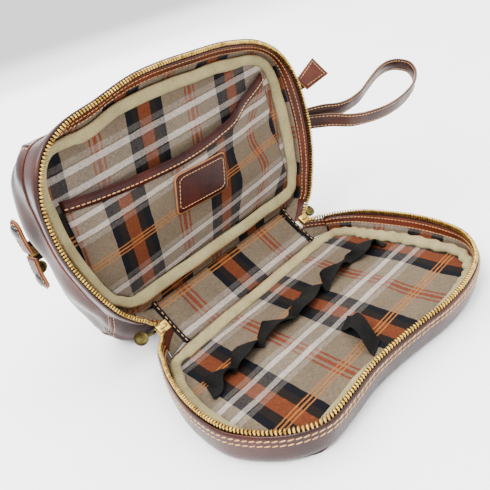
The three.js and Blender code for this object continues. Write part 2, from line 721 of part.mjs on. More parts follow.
// ---- Wrist strap on its ring at the right end --------------------------------------------------------------
const RING_X = 135;
const RING_Y = -14;
const RING_Z = -11;
function strapRing() {
  const wide = 4.2;
  const tall = 9;
  const corners = [
    [-wide, -tall],
    [wide, -tall],
    [wide, tall],
    [-wide, tall],
  ];
  const rings = [];
  const wire = 1.2;
  corners.forEach(([x, y]) => {
    const outX = Math.sign(x);
    const outY = Math.sign(y);
    rings.push([
      new THREE.Vector3(x - outX * wire, y - outY * wire, -wire),
      new THREE.Vector3(x + outX * wire, y + outY * wire, -wire),
      new THREE.Vector3(x + outX * wire, y + outY * wire, wire),
      new THREE.Vector3(x - outX * wire, y - outY * wire, wire),
    ]);
  });
  return ringSolid(rings, true);
}
const ring = add(mainHalf, 'strap_ring', strapRing(), antiqueBrass());
ring.position.set(RING_X, RING_Y, RING_Z);

// A folded leather holder: its two leaves are sewn to the end panel and its bend holds the ring.
const HOLDER_WIDTH = 13;
function ringHolder() {
  const plan = new THREE.Shape();
  const inner = 1.7;
  const outer = inner + 1.6;
  plan.moveTo(-4.5, outer);
  plan.lineTo(-4.5, inner);
  plan.lineTo(0, inner);
  plan.absarc(0, 0, inner, Math.PI / 2, -Math.PI / 2, true);
  plan.lineTo(-4.5, -inner);
  plan.lineTo(-4.5, -outer);
  plan.lineTo(0, -outer);
  plan.absarc(0, 0, outer, -Math.PI / 2, Math.PI / 2, false);
  return plate(plan, HOLDER_WIDTH, 10).translate(0, 0, -HOLDER_WIDTH / 2);
}
const holder = add(mainHalf, 'ring_holder', ringHolder(), brownLeather());
holder.position.set(RING_X - 4.2, RING_Y, RING_Z);
holder.rotation.x = Math.PI / 2;

// The strap is one closed loop of leather round the ring's outer bar.
const BAR = [RING_X + 4.2, RING_Y, RING_Z];
const STRAP_WIDTH = 13;
const STRAP_THICK = 2;
const strapPath = curveThrough(
  [
    [BAR[0] - 3.4, BAR[1], BAR[2]],
    [BAR[0], BAR[1] + 0.4, BAR[2] - 3.5],
    [BAR[0] + 8, BAR[1] + 1, BAR[2] - 2.4],
    [174, -15, 2],
    [192, -19, 10],
    [222, -19, 11],
    [252, -15, 5],
    [284, -11, -1],
    [306, -11, -2],
    [320, -14, 2],
    [325, -19, 11],
    [318, -25, 21],
    [300, -30, 31],
    [278, -33, 37],
    [252, -35, 40],
    [226, -35, 39],
    [204, -33, 34],
    [184, -29, 26],
    [170, -23, 13],
    [BAR[0] + 8, BAR[1] - 3, BAR[2] + 6],
    [BAR[0], BAR[1] - 0.4, BAR[2] + 3.5],
  ],
  true,
);
// The strap's width is upright at the ring and leans back along the loop.
function strapAcross(t) {
  const lean = Math.min(1, Math.max(0, Math.min(t, 1 - t) - 0.08) / 0.1);
  return new THREE.Vector3(0, 1, 0.45 * lean);
}
const strapLoop = ribbon(strapPath, strapAcross, STRAP_WIDTH, STRAP_THICK, 63, true);
add(mainHalf, 'wrist_strap', strapLoop, brownLeather());

export default bag;
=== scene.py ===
import math

import bmesh
import bpy
import numpy as np
from mathutils import Matrix, Vector


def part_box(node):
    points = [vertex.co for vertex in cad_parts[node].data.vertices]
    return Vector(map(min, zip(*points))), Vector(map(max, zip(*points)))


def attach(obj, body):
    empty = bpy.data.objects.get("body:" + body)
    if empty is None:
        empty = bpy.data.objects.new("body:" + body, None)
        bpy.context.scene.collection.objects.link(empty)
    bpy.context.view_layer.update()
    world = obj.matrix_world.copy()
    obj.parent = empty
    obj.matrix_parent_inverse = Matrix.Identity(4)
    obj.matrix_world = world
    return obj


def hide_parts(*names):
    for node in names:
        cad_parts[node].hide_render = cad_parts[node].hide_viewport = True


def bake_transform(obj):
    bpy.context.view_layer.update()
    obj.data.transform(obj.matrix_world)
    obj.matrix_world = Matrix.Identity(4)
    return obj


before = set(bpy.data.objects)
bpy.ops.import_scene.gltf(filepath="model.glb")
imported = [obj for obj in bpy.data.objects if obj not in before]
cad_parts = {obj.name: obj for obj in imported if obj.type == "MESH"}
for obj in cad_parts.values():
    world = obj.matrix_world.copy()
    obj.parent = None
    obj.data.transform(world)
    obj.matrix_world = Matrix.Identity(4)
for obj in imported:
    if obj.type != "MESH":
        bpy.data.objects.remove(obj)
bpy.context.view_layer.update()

# A leather shaving kit bag, lying open: the tray in front, the main bag behind it with its divider upright,
# and the plaid hinge band between them. Shapes are worked out in millimetres and made in metres.

MM = 0.001
FOLD_Y = 82.0
TRAY_FLOOR = 5.0
DIVIDER_Y = 109.01
DIVIDER_Z = 114.01
RIM_HEIGHT = 18.7
PLAID_ACROSS = 91.5
PLAID_ALONG = 74.0

# ---- Camera --------------------------------------------------------------------------------------------
camera_data = bpy.data.cameras.new("camera")
camera_data.sensor_width = 36
camera_data.lens = 40.86
camera = bpy.data.objects.new("camera", camera_data)
bpy.context.collection.objects.link(camera)
camera_right = Vector((0.66274, -0.69548, -0.27763))
camera_up = Vector((0.49130, 0.12402, 0.86212))
camera_turn = Matrix((camera_right, camera_up, camera_right.cross(camera_up))).transposed().to_4x4()
camera_turn.translation = Vector((-0.25101, -0.24377, 0.23861))
camera.matrix_world = camera_turn
bpy.context.scene.camera = camera


# ---- Lines and outlines --------------------------------------------------------------------------------
def smooth_line(knots, count, closed=False):
    """Evenly spaced points of a rounded line through the knots."""
    knots = np.array(knots, float)
    n = len(knots)
    if closed:
        padded = np.vstack([knots[-1:], knots, knots[:2]])
    else:
        padded = np.vstack([2 * knots[:1] - knots[1:2], knots, 2 * knots[-1:] - knots[-2:-1]])
    pieces = []
    share = np.linspace(0, 1, 40, endpoint=False)[:, None]
    for i in range(n if closed else n - 1):
        a, b, c, d = padded[i:i + 4]
        ab, bc, cd = (max(np.linalg.norm(q - p), 1e-6) ** 0.5 for p, q in ((a, b), (b, c), (c, d)))
        leave = ((b - a) / ab - (c - a) / (ab + bc) + (c - b) / bc) * bc
        arrive = ((c - b) / bc - (d - b) / (bc + cd) + (d - c) / cd) * bc
        cube = 2 * b - 2 * c + leave + arrive
        square = -3 * b + 3 * c - 2 * leave - arrive
        pieces.append(cube * share ** 3 + square * share ** 2 + leave * share + b)
    pieces.append(knots[:1] if closed else knots[-1:])
    line = np.vstack(pieces)
    return spaced(line, count)


def lengths_along(line):
    return np.concatenate([[0], np.cumsum(np.linalg.norm(np.diff(line, axis=0), axis=1))])


def spaced(line, count):
    along = lengths_along(line)
    wanted = np.linspace(0, along[-1], count)
    return np.stack([np.interp(wanted, along, line[:, k]) for k in range(line.shape[1])], 1)


def directions(line):
    step = np.gradient(line, axis=0)
    return step / np.maximum(np.linalg.norm(step, axis=1), 1e-9)[:, None]


def unit(v):
    return v / np.maximum(np.linalg.norm(v, axis=-1), 1e-9)[..., None]


def ease(x, low, high):
    x = np.clip((x - low) / (high - low), 0, 1)
    return x * x * (3 - 2 * x)


class Half:
    """One half of the bag: its zip line, seen from the lining's side, with the hinge side at +Y."""

    def __init__(self, mouth, insets, lean, upright):
        line = smooth_line(mouth, 2401, True)[:-1]
        self.line = line
        self.length = lengths_along(np.vstack([line, line[:1]]))[-1]
        tangent = np.roll(line, -6, 0) - np.roll(line, 6, 0)
        self.tangent = tangent / np.linalg.norm(tangent, axis=1)[:, None]
        self.left, self.right, self.far = insets
        self.lean = lean
        self.upright = upright

    def look(self, table, t):
        n = len(table)
        grid = np.arange(-n, 2 * n) / n
        wide = np.vstack([table, table, table])
        return np.stack([np.interp(t, grid, wide[:, k]) for k in range(2)], 1)

    def share_near(self, x, y):
        return np.argmin(np.hypot(self.line[:, 0] - x, self.line[:, 1] - y)) / len(self.line)

    def place(self, x, y, height):
        if self.upright:
            return np.stack([x, DIVIDER_Y - height, DIVIDER_Z - y], -1)
        return np.stack([x, y, TRAY_FLOOR + height], -1)

    def outward(self, t):
        tx, ty = self.look(self.tangent, t).T
        if self.upright:
            return unit(np.stack([-ty, 0 * tx, -tx], -1))
        return unit(np.stack([-ty, tx, 0 * tx], -1))

    def rim(self, t, grow, height, standing=False, hinge_inset=1.0):
        """Points of the wall: grown outwards from the lining, at a height above the floor."""
        t = np.asarray(t, float)
        px, py = self.look(self.line, t).T
        tx, ty = self.look(self.tangent, t).T
        nx, ny = -ty, tx
        beside = (self.left + self.right + nx * (self.right - self.left)) / 2
        wall = beside + (self.far - beside) * np.maximum(0, -ny) ** 2 - 10 * (2 * nx * ny) ** 2
        near = ease(ny, 0.4, 0.9)
        wall = np.maximum(wall, 0) * (1 - near) + hinge_inset * near
        if standing:
            wall = self.lean * np.maximum(0, -ny) ** 2
        height = np.asarray(height, float) + 0 * t
        out = grow - wall * (1 - np.maximum(height, 0) / RIM_HEIGHT)
        return self.place(px + nx * out, py + ny * out, height)


TRAY = Half(
    [
        (0, 82), (60, 82), (99, 79), (119, 50), (122.5, 13), (117.5, -25), (103, -58), (76, -80.5),
        (47, -88.5), (19, -88.5), (-6, -83.5), (-30, -79), (-54, -76.7), (-79, -78), (-99, -77.5),
        (-114, -67.5), (-126, -50), (-133.5, -28), (-132, 0), (-124, 28.5), (-112, 55), (-96, 78), (-60, 82),
    ],
    (6, 14, 9), 6, False,
)
DIVIDER = Half(
    [
        (0, 82), (60, 82), (105, 78), (122, 54.5), (132, 24), (134.5, -5), (130.5, -33), (117.5, -56),
        (94, -72.6), (62, -81.4), (30, -84.5), (-26, -86), (-64, -79.5), (-89, -75),
        (-107, -65.7), (-120.5, -50), (-128, -32), (-130, -14), (-129, 4), (-124, 26), (-116, 48),
        (-106.5, 65), (-91, 80), (-60, 82),
    ],
    (8, 15, 16), 0, True,
)


# ---- Materials -----------------------------------------------------------------------------------------
def colour(code):
    values = [int(code[i:i + 2], 16) / 255 for i in (0, 2, 4)]
    return [v / 12.92 if v <= 0.04045 else ((v + 0.055) / 1.055) ** 2.4 for v in values] + [1]


class Recipe:
    """A material's nodes, added one by one."""

    def __init__(self, name):
        self.material = bpy.data.materials.new(name)
        self.material.use_nodes = True
        self.tree = self.material.node_tree
        self.shader = self.tree.nodes["Principled BSDF"]

    def add(self, kind, inputs=(), **settings):
        made = self.tree.nodes.new("ShaderNode" + kind)
        for key, value in settings.items():
            setattr(made, key, value)
        for key, value in dict(inputs).items():
            self.feed(made, key, value)
        return made

    def feed(self, made, key, value):
        if isinstance(value, bpy.types.NodeSocket):
            self.tree.links.new(value, made.inputs[key])
        else:
            made.inputs[key].default_value = value

    def place(self):
        return self.add("TexCoord").outputs["Object"]

    def cloth_place(self):
        return self.add("UVMap").outputs["UV"]

    def noise(self, where, scale, detail=3.0, rough=0.5):
        made = self.add("TexNoise", {"Vector": where, "Scale": scale, "Detail": detail, "Roughness": rough})
        return made.outputs["Fac"]

    def stretched(self, where, scale):
        return self.add("Mapping", {"Vector": where, "Scale": scale}).outputs["Vector"]

    def math(self, operation, a, b=0.0, c=0.0):
        made = self.add("Math", operation=operation)
        for i, value in enumerate((a, b, c)):
            self.feed(made, i, value)
        return made.outputs[0]

    def ramp(self, fac, stops, steps=False):
        made = self.add("ValToRGB", {"Fac": fac})
        made.color_ramp.interpolation = "CONSTANT" if steps else "LINEAR"
        elements = made.color_ramp.elements
        while len(elements) > 1:
            elements.remove(elements[-1])
        for i, (position, shade) in enumerate(stops):
            element = elements[0] if i == 0 else elements.new(position)
            element.position = position
            element.color = colour(shade) if isinstance(shade, str) else [shade] * 3 + [1]
        return made.outputs["Color"]

    def mix(self, share, a, b, blend="MIX"):
        made = self.add("Mix", data_type="RGBA", blend_type=blend)
        self.feed(made, 0, share)
        self.feed(made, 6, a)
        self.feed(made, 7, b)
        return made.outputs[2]

    def finish(self, shade=None, bump=None, depth=0.0002, rough=None, **fixed):
        if shade is not None:
            self.feed(self.shader, "Base Color", shade)
        if rough is not None:
            self.feed(self.shader, "Roughness", rough)
        if bump is not None:
            raised = self.add("Bump", {"Height": bump, "Distance": depth, "Strength": 1.0})
            self.tree.links.new(raised.outputs["Normal"], self.shader.inputs["Normal"])
        for key, value in fixed.items():
            self.shader.inputs[key.replace("_", " ")].default_value = value
        return self.material


def leather(name, deep, middle, light, rough=(0.3, 0.5), grain=0.00012, coat=0.25, shine=0.3):
    recipe = Recipe(name)
    where = recipe.place()
    clouds = recipe.noise(where, 30, 5, 0.6)
    shade = recipe.ramp(clouds, [(0.28, deep), (0.5, middle), (0.74, light)])
    pores = recipe.add("TexVoronoi", {"Vector": where, "Scale": 900.0}).outputs["Distance"]
    fine = recipe.noise(where, 1500, 3)
    creases = recipe.noise(recipe.stretched(where, (1.0, 1.0, 1.6)), 90, 6, 0.65)
    height = recipe.math("MULTIPLY_ADD", pores, 0.35, recipe.math("MULTIPLY_ADD", creases, 1.6, fine))
    dull = recipe.add("MapRange", {0: recipe.noise(where, 55, 4), 1: 0.3, 2: 0.7, 3: rough[0], 4: rough[1]})
    return recipe.finish(
        shade, height, grain, dull.outputs[0], Coat_Weight=coat, Coat_Roughness=0.12, Specular_IOR_Level=shine
    )


def plaid_cloth():
    """The sett: bands across the bag over U, one period from 0 to 1, and white and orange lines over V."""
    recipe = Recipe("plaid_twill")
    cloth = recipe.cloth_place()
    where = recipe.place()
    wander = recipe.math("MULTIPLY_ADD", recipe.noise(where, 160, 2), 0.012, -0.006)
    axes = recipe.add("SeparateXYZ", {"Vector": cloth})
    across = recipe.math("FRACT", recipe.math("ADD", axes.outputs[0], wander))
    along = recipe.math("FRACT", recipe.math("ADD", axes.outputs[1], wander))
    taupe, navy, brown, rust, red = "5a4e3f", "07080e", "150f0c", "532814", "5c2d1d"
    bands = recipe.ramp(across, [
        (0.0, red), (0.0185, taupe), (0.040, red), (0.0605, taupe), (0.312, navy), (0.3743, brown),
        (0.4399, rust), (0.5601, brown), (0.6257, navy), (0.688, taupe), (0.9395, red),
        (0.960, taupe), (0.9815, red),
    ], True)
    dark = recipe.ramp(across, [(0.0, 0.0), (0.312, 1.0), (0.688, 0.0)], True)
    white_share = recipe.ramp(along, [
        (0.0, 0.0), (0.2973, 0.2), (0.358, 0.03), (0.374, 0.9), (0.436, 0.12),
        (0.564, 0.9), (0.626, 0.03), (0.642, 0.2), (0.7027, 0.0),
    ], True)
    orange_share = recipe.ramp(along, [
        (0.0, 0.75), (0.009, 0.0), (0.032, 0.75), (0.048, 0.0), (0.952, 0.75), (0.968, 0.0), (0.991, 0.75),
    ], True)
    hatch = recipe.noise(recipe.stretched(cloth, (55.0, 900.0, 1.0)), 1.0, 2)
    hatch = recipe.add("MapRange", {0: hatch, 1: 0.38, 2: 0.62, 3: 0.12, 4: 0.85}).outputs[0]
    cover = recipe.math("MULTIPLY_ADD", dark, recipe.math("SUBTRACT", hatch, 0.9), 0.9)
    white_cover = recipe.math("MULTIPLY", white_share, cover)
    shade = recipe.mix(white_cover, bands, colour("9d938b"))
    shade = recipe.mix(orange_share, shade, colour("8a5426"))
    weft = recipe.noise(recipe.stretched(cloth, (26.0, 210.0, 1.0)), 1.0, 2)
    warp = recipe.noise(recipe.stretched(cloth, (260.0, 24.0, 1.0)), 1.0, 2)
    threads = recipe.math("ADD", weft, warp)
    fleck = recipe.add("MapRange", {0: threads, 1: 0.76, 2: 1.24, 3: 0.62, 4: 1.34}).outputs[0]
    worn = recipe.add("MapRange", {0: recipe.noise(where, 45, 4), 1: 0.3, 2: 0.7, 3: 0.88, 4: 1.1}).outputs[0]
    tone = recipe.math("MULTIPLY", fleck, worn)
    shade = recipe.mix(
        1.0, shade, recipe.add("CombineColor", {0: tone, 1: tone, 2: tone}).outputs[0], "MULTIPLY"
    )
    return recipe.finish(shade, threads, 0.00025, Roughness=0.9, Specular_IOR_Level=0.12)


def woven(name, deep, light, ribs, rough=0.85, depth=0.0002, cells=600.0):
    """A plain woven or ribbed tape; ribs are per unit of the piece's own U and V."""
    recipe = Recipe(name)
    cloth = recipe.cloth_place()
    where = recipe.place()
    axes = recipe.add("SeparateXYZ", {"Vector": cloth})
    slant = recipe.math(
        "ADD", recipe.math("MULTIPLY", axes.outputs[0], ribs[0]),
        recipe.math("MULTIPLY", axes.outputs[1], ribs[1])
    )
    rib = recipe.math("SINE", slant)
    fuzz = recipe.noise(where, cells, 3)
    clouds = recipe.noise(where, 70, 4)
    shade = recipe.ramp(
        recipe.math("MULTIPLY_ADD", clouds, 0.6, recipe.math("MULTIPLY", fuzz, 0.4)),
        [(0.36, deep), (0.62, light)]
    )
    height = recipe.math("MULTIPLY_ADD", rib, 0.5, fuzz)
    return recipe.finish(shade, height, depth, Roughness=rough, Specular_IOR_Level=0.15)


def metal(name, deep, light, rough):
    recipe = Recipe(name)
    where = recipe.place()
    tarnish = recipe.noise(where, 260, 4)
    shade = recipe.ramp(tarnish, [(0.3, deep), (0.62, light)])
    dull = recipe.add("MapRange", {0: recipe.noise(where, 700, 3), 1: 0.3, 2: 0.7, 3: rough[0], 4: rough[1]})
    return recipe.finish(shade, recipe.noise(where, 1200, 3), 0.00003, dull.outputs[0], Metallic=1.0)


def twisted_thread(name, deep, light):
    recipe = Recipe(name)
    where = recipe.place()
    shade = recipe.ramp(recipe.noise(where, 900, 2), [(0.35, deep), (0.65, light)])
    return recipe.finish(shade, recipe.noise(where, 2600, 2), 0.0001, Roughness=0.6)


BROWN = leather("brown_leather", "160604", "2a0d08", "401910", (0.24, 0.4), 0.00012, 0.14, 0.25)
RED = leather("red_brown_leather", "240a05", "401608", "5a2412", (0.28, 0.45), 0.0001, 0.04, 0.2)
TRIM = leather("dark_trim_leather", "150504", "290a06", "3a120a", (0.24, 0.4), 0.0001, 0.03, 0.12)
STRAP = leather("strap_leather", "1c0b07", "2e150e", "42251b", (0.32, 0.5), 0.00012, 0.03, 0.2)
RAW_EDGE = leather("raw_leather_edge", "633216", "86522b", "986a3c", (0.6, 0.8), 0.00015, 0.0)
STRAP_EDGE = leather("strap_cut_edge", "3c2a1e", "59402e", "725742", (0.6, 0.8), 0.00015, 0.0)
SNAP = leather("snap_enamel", "0a0a0c", "17171b", "30343e", (0.1, 0.2), 0.00003, 0.6)
PLAID = plaid_cloth()
TWILL = woven("khaki_twill", "857a56", "a0946b", (7.0, 5.0), 0.9, 0.00025)
TAPE = woven("zip_tape", "180805", "2c0f08", (9.0, 0.0), 0.8)
ELASTIC = woven("ribbed_elastic", "060606", "141210", (0.0, 7.5), 0.8, 0.00035)
BLACK_TAPE = woven("black_seam_tape", "050609", "101116", (6.0, 4.0), 0.85)
BRASS = metal("zip_brass", "7c5d24", "c9a95c", (0.22, 0.4))
OLD_BRASS = metal("aged_brass", "352d15", "655a34", (0.3, 0.5))
THREAD = twisted_thread("tan_thread", "a5713c", "cf9f68")
RED_THREAD = twisted_thread("rust_thread", "743c20", "9c6038")


# ---- Making meshes -------------------------------------------------------------------------------------
def make(name, body, material, points, faces, corners=None, smooth=True):
    mesh = bpy.data.meshes.new(name)
    mesh.from_pydata(
        (np.asarray(points).reshape(-1, 3) * MM).tolist(), [], [list(map(int, f)) for f in faces]
    )
    if corners is not None:
        layer = mesh.uv_layers.new(name="cloth")
        layer.data.foreach_set("uv", np.asarray(corners, float).ravel())
    mesh.polygons.foreach_set("use_smooth", [smooth] * len(mesh.polygons))
    mesh.materials.append(material)
    piece = bpy.data.objects.new(name, mesh)
    bpy.context.collection.objects.link(piece)
    if body:
        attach(piece, body)
    return piece


def apply_all(piece):
    bpy.context.view_layer.update()
    solid = bpy.data.meshes.new_from_object(piece.evaluated_get(bpy.context.evaluated_depsgraph_get()))
    piece.modifiers.clear()
    piece.data = solid
    return piece


def sheet(name, body, material, points, cloth, loop=False, tube=False, thick=0.0, caps=False):
    """A surface over a grid of points, with its own cloth coordinates, closed round either way."""
    points = np.asarray(points, float)
    nu, nv = points.shape[:2]
    faces, corners = [], []
    for i in range(nu if loop else nu - 1):
        for j in range(nv if tube else nv - 1):
            a, b = (i + 1) % nu, (j + 1) % nv
            faces.append((i * nv + j, a * nv + j, a * nv + b, i * nv + b))
            corners.extend([cloth[i, j], cloth[i + 1, j], cloth[i + 1, j + 1], cloth[i, j + 1]])
    if caps and not loop:
        first = list(range(nv))
        last = [(nu - 1) * nv + j for j in range(nv)]
        faces.extend([first, last[::-1]])
        corners.extend([cloth[0, j] for j in range(nv)] + [cloth[nu - 1, j] for j in reversed(range(nv))])
    piece = make(name, None, material, points, faces, corners)
    closed = thick or (tube and (loop or caps))
    if thick:
        wall = piece.modifiers.new("wall", "SOLIDIFY")
        wall.thickness = thick * MM
        wall.offset = -1
        apply_all(piece)
    if closed:
        solid = bmesh.new()
        solid.from_mesh(piece.data)
        inside_out = solid.calc_volume(signed=True) < 0
        solid.free()
        if inside_out:
            piece.data.flip_normals()
    if body:
        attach(piece, body)
    return piece


def plain_cloth(rows, columns, width, height):
    """Cloth coordinates in millimetres for a plain strip."""
    u, v = np.meshgrid(np.linspace(0, width, rows), np.linspace(0, height, columns), indexing="ij")
    return np.stack([u, v], -1)


STITCH_SIDES = 5


def stitch_shape():
    """One stitch: a short rounded piece of thread, a unit long along X and a unit thick."""
    rings = [(-0.5, 0.25), (-0.34, 0.85), (0.0, 1.0), (0.34, 0.85), (0.5, 0.25)]
    points = []
    for x, radius in rings:
        for k in range(STITCH_SIDES):
            angle = 2 * math.pi * k / STITCH_SIDES
            points.append((x, 0.5 * radius * math.cos(angle), 0.5 * radius * math.sin(angle)))
    faces = []
    for i in range(len(rings) - 1):
        for k in range(STITCH_SIDES):
            m = (k + 1) % STITCH_SIDES
            a, b = i * STITCH_SIDES, (i + 1) * STITCH_SIDES
            faces.append((a + k, b + k, b + m, a + m))
    faces.append(tuple(reversed(range(STITCH_SIDES))))
    faces.append(tuple((len(rings) - 1) * STITCH_SIDES + k for k in range(STITCH_SIDES)))
    return np.array(points), faces


STITCH = stitch_shape()


def repeat(name, body, material, shape, places, smooth=True):
    """One mesh of many copies of a small shape; each place is a 3 by 3 turn and a point."""
    points, faces = shape
    all_points, all_faces = [], []
    for turn, at in places:
        base = len(all_points) * len(points)
        all_points.append(points @ turn.T + at)
        all_faces.extend([tuple(base + k for k in face) for face in faces])
    piece = make(name, body, material, np.vstack(all_points), all_faces, smooth=smooth)
    return piece


def stitches(name, body, line, out, pitch=4.0, length=3.1, thick=0.75, sink=0.15, slant=0.0, material=None):
    """A row of stitches along a line, lying on the surface whose outward side is given."""
    line = np.asarray(line, float)
    out = np.asarray(out, float) + 0 * line
    along = lengths_along(line)
    count = max(2, int(along[-1] / pitch))
    spots = (np.arange(count) + 0.5) * along[-1] / count
    at = np.stack([np.interp(spots, along, line[:, k]) for k in range(3)], 1)
    ahead = np.stack([np.interp(spots + 0.5, along, line[:, k]) for k in range(3)], 1)
    behind = np.stack([np.interp(spots - 0.5, along, line[:, k]) for k in range(3)], 1)
    up = unit(np.stack([np.interp(spots, along, out[:, k]) for k in range(3)], 1))
    forward = unit(ahead - behind)
    side = unit(np.cross(up, forward))
    forward = unit(np.cross(side, up))
    turned = forward * math.cos(slant) + side * math.sin(slant)
    across = np.cross(up, turned)
    places = []
    for i in range(count):
        turn = np.stack([turned[i] * length, across[i] * thick, up[i] * thick * 0.8], 1)
        places.append((turn, at[i] + up[i] * sink))
    return repeat(name, body, material or THREAD, STITCH, places)


def ribbon(name, body, material, line, across, width, thick, cupped=0.0):
    """A flat strap along a line, a little rounded at its edges; across is the way its width lies."""
    line = np.asarray(line, float)
    across = unit(np.asarray(across, float) + 0 * line)
    forward = directions(line)
    up = unit(np.cross(forward, across))
    section = [(-1, -0.35), (-0.97, 0.3), (-0.9, 0.5), (0, 0.5 + cupped), (0.9, 0.5), (0.97, 0.3),
               (1, -0.35), (0.97, -0.45), (0.9, -0.5), (0, -0.5 + cupped), (-0.9, -0.5), (-0.97, -0.45)]
    points = np.stack([line + across * w * width / 2 + up * h * thick for w, h in section], 1)
    along = lengths_along(line)
    cloth = np.zeros((len(line), len(section) + 1, 2))
    cloth[:, :, 0] = np.linspace(0, 2 * width, len(section) + 1)[None, :]
    cloth[:, :, 1] = along[:, None]
    return sheet(name, body, material, points, cloth, tube=True, caps=True), up


def tooth_shape():
    """One zip tooth: a block with its edges rounded."""
    bpy.ops.object.select_all(action="DESELECT")
    bpy.ops.mesh.primitive_cube_add(size=1)
    block = bpy.context.object
    block.scale = (1.5, 2.8, 3.8)
    bpy.ops.object.transform_apply(scale=True)
    bpy.ops.object.mode_set(mode="EDIT")
    bpy.ops.mesh.select_all(action="SELECT")
    bpy.ops.mesh.bevel(offset=0.45, segments=1)
    bpy.ops.object.mode_set(mode="OBJECT")
    points = np.array([v.co for v in block.data.vertices])
    faces = [tuple(p.vertices) for p in block.data.polygons]
    bpy.data.objects.remove(block)
    return points, faces


TOOTH = tooth_shape()
PITCH = 2.45


def zip_teeth(name, body, line, out, up, pitch=PITCH):
    """Teeth along a line; out is across the zip, and up is the way the teeth point."""
    along = lengths_along(line)
    count = max(2, int(round(along[-1] / pitch)))
    spots = (np.arange(count) + 0.5) * along[-1] / count
    pick = lambda table: np.stack([np.interp(spots, along, table[:, k]) for k in range(3)], 1)
    at, across, rise = pick(line), unit(pick(out + 0 * line)), unit(pick(up + 0 * line))
    forward = unit(np.cross(across, rise))
    across = unit(np.cross(rise, forward))
    places = []
    for i in range(count):
        places.append((np.stack([forward[i], across[i], rise[i]], 1), at[i]))
    return repeat(name, body, BRASS, TOOTH, places)


# ---- Rims of the two halves ----------------------------------------------------------------------------
def wobble(t, seed, size):
    """A slow, repeatable unevenness round an outline."""
    total = 0
    for k, strength in ((3, 1.0), (7, 0.7), (13, 0.5), (23, 0.3)):
        total = total + strength * np.sin(2 * np.pi * (k * t + seed * 0.37 * k))
    return size * total / 2


def rim_sheet(name, body, material, half, section, ts, cloth=None, loop=False, **more):
    rows = [half.rim(ts, grow, height, *rest) for grow, height, *rest in section]
    points = np.stack(rows, 1)
    if cloth is None:
        closed = np.vstack([points[:, 0], points[:1, 0]]) if loop else points[:, 0]
        along = lengths_along(closed)
        down = np.linalg.norm(np.diff(points.mean(0), axis=0), axis=1)
        if more.get("tube"):
            down = np.append(down, down[-1])
        down = np.concatenate([[0], np.cumsum(down)])
        u, v = np.meshgrid(along, down, indexing="ij")
        cloth = np.stack([u, v], -1)
    return sheet(name, body, material, points, cloth, loop=loop, **more)


def rise_of(half):
    return np.array([0.0, -1.0, 0.0]) if half.upright else np.array([0.0, 0.0, 1.0])


def make_rim(half, word, cad, body, ends, band_phase):
    start, end = ends
    ts = np.linspace(start, end, 230)
    out = half.outward(ts)
    rise = rise_of(half)
    teeth = zip_teeth(f"{word}_zip_teeth", body, half.rim(ts, 0, 16.9), out, rise)
    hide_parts(f"{cad}_zip_teeth")
    edge = [(-0.2, 12.8), (-0.35, 14.4), (0.0, 16.2), (0.9, 16.2), (1.3, 14.4), (1.2, 12.8)]
    rim_sheet(f"{word}_zip_edge", body, TAPE, half, edge, ts, tube=True, caps=True)
    strip = [
        (1.2, 7.0), (0.2, 6.9), (-0.35, 7.4), (-0.55, 9.0), (-0.6, 11.0), (-0.6, 13.0), (-0.4, 14.2),
        (0.3, 14.5), (1.2, 14.3)
    ]
    band = rim_sheet(f"{word}_zip_strip", body, RED, half, strip, ts, tube=True, caps=True)
    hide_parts(f"{cad}_zip_tape")
    for row, height in (("upper", 12.7), ("lower", 8.9)):
        line = half.rim(ts, -0.7, height)
        stitches(f"{word}_strip_stitches_{row}", body, line, -out, 3.4, 2.6, 0.8)
    wall = [(-0.1, 8.6), (0.05, 7.0), (0.1, 5.0), (0.0, 3.0), (-0.3, 1.2), (-0.8, 0.4)]
    along = lengths_along(half.rim(ts, 0, 4))
    u, v = np.meshgrid(
        along / PLAID_ACROSS + band_phase, np.array([8.6, 7, 5, 3, 1.2, 0.2]) / PLAID_ALONG + 0.22,
        indexing="ij"
    )
    lining = rim_sheet(f"{word}_wall_lining", body, PLAID, half, wall, ts, np.stack([u, v], -1), thick=0.4)
    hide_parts(f"{cad}_rim_lining")
    # The folded binding, a little puffed and uneven, with its seam near the outer edge.
    whole = np.linspace(0, 1, 260, endpoint=False)
    shift = wobble(whole, 1 + half.upright, 0.55)
    outline = half.rim(whole, -5, 0, False, 10.0)
    puckered = ease(outline[:, 0], 35, 80) * (0.0 if half.upright else 1.0)
    shift = shift + 1.0 * puckered * np.sin(2 * np.pi * 57 * whole + 3 * np.sin(2 * np.pi * 5 * whole))
    lift = wobble(whole, 5 + half.upright, 0.35)
    profile = [
        (-1.0, 0.5), (-0.9, 2.4), (-1.3, 4.0), (-2.3, 4.9), (-3.8, 4.9), (-5.6, 4.5), (-7.4, 3.8),
        (-8.5, 2.8), (-8.7, 1.4), (-8.3, 0.35), (-5, 0.35)
    ]
    rows = []
    for grow, height in profile:
        rows.append(half.rim(whole, grow + shift, height + lift * (height > 1), False, 10.0))
    points = np.stack(rows, 1)
    lengths = lengths_along(np.vstack([points[:, 0], points[:1, 0]]))
    u, v = np.meshgrid(lengths, np.arange(len(profile) + 1) * 1.7, indexing="ij")
    binding = sheet(f"{word}_binding", body, TWILL, points, np.stack([u, v], -1), loop=True, tube=True)
    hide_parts(f"{cad}_binding")
    seam = np.vstack([half.rim(whole, -2.5 + shift, 4.95 + lift, False, 10.0)])
    seam = np.vstack([seam, seam[:1]])
    stitches(f"{word}_binding_seam", body, seam, rise, 3.4, 2.3, 0.5, 0.05, 0.1, RED_THREAD)
    return ts


tray_ends = (TRAY.share_near(104, 76), TRAY.share_near(-95, 78))
divider_ends = (DIVIDER.share_near(104, 76), DIVIDER.share_near(-95, 78))
tray_ts = make_rim(TRAY, "tray", "base", "base_tray", tray_ends, 0.42)
divider_ts = make_rim(DIVIDER, "divider", "divider", "main_compartment", divider_ends, 0.30)

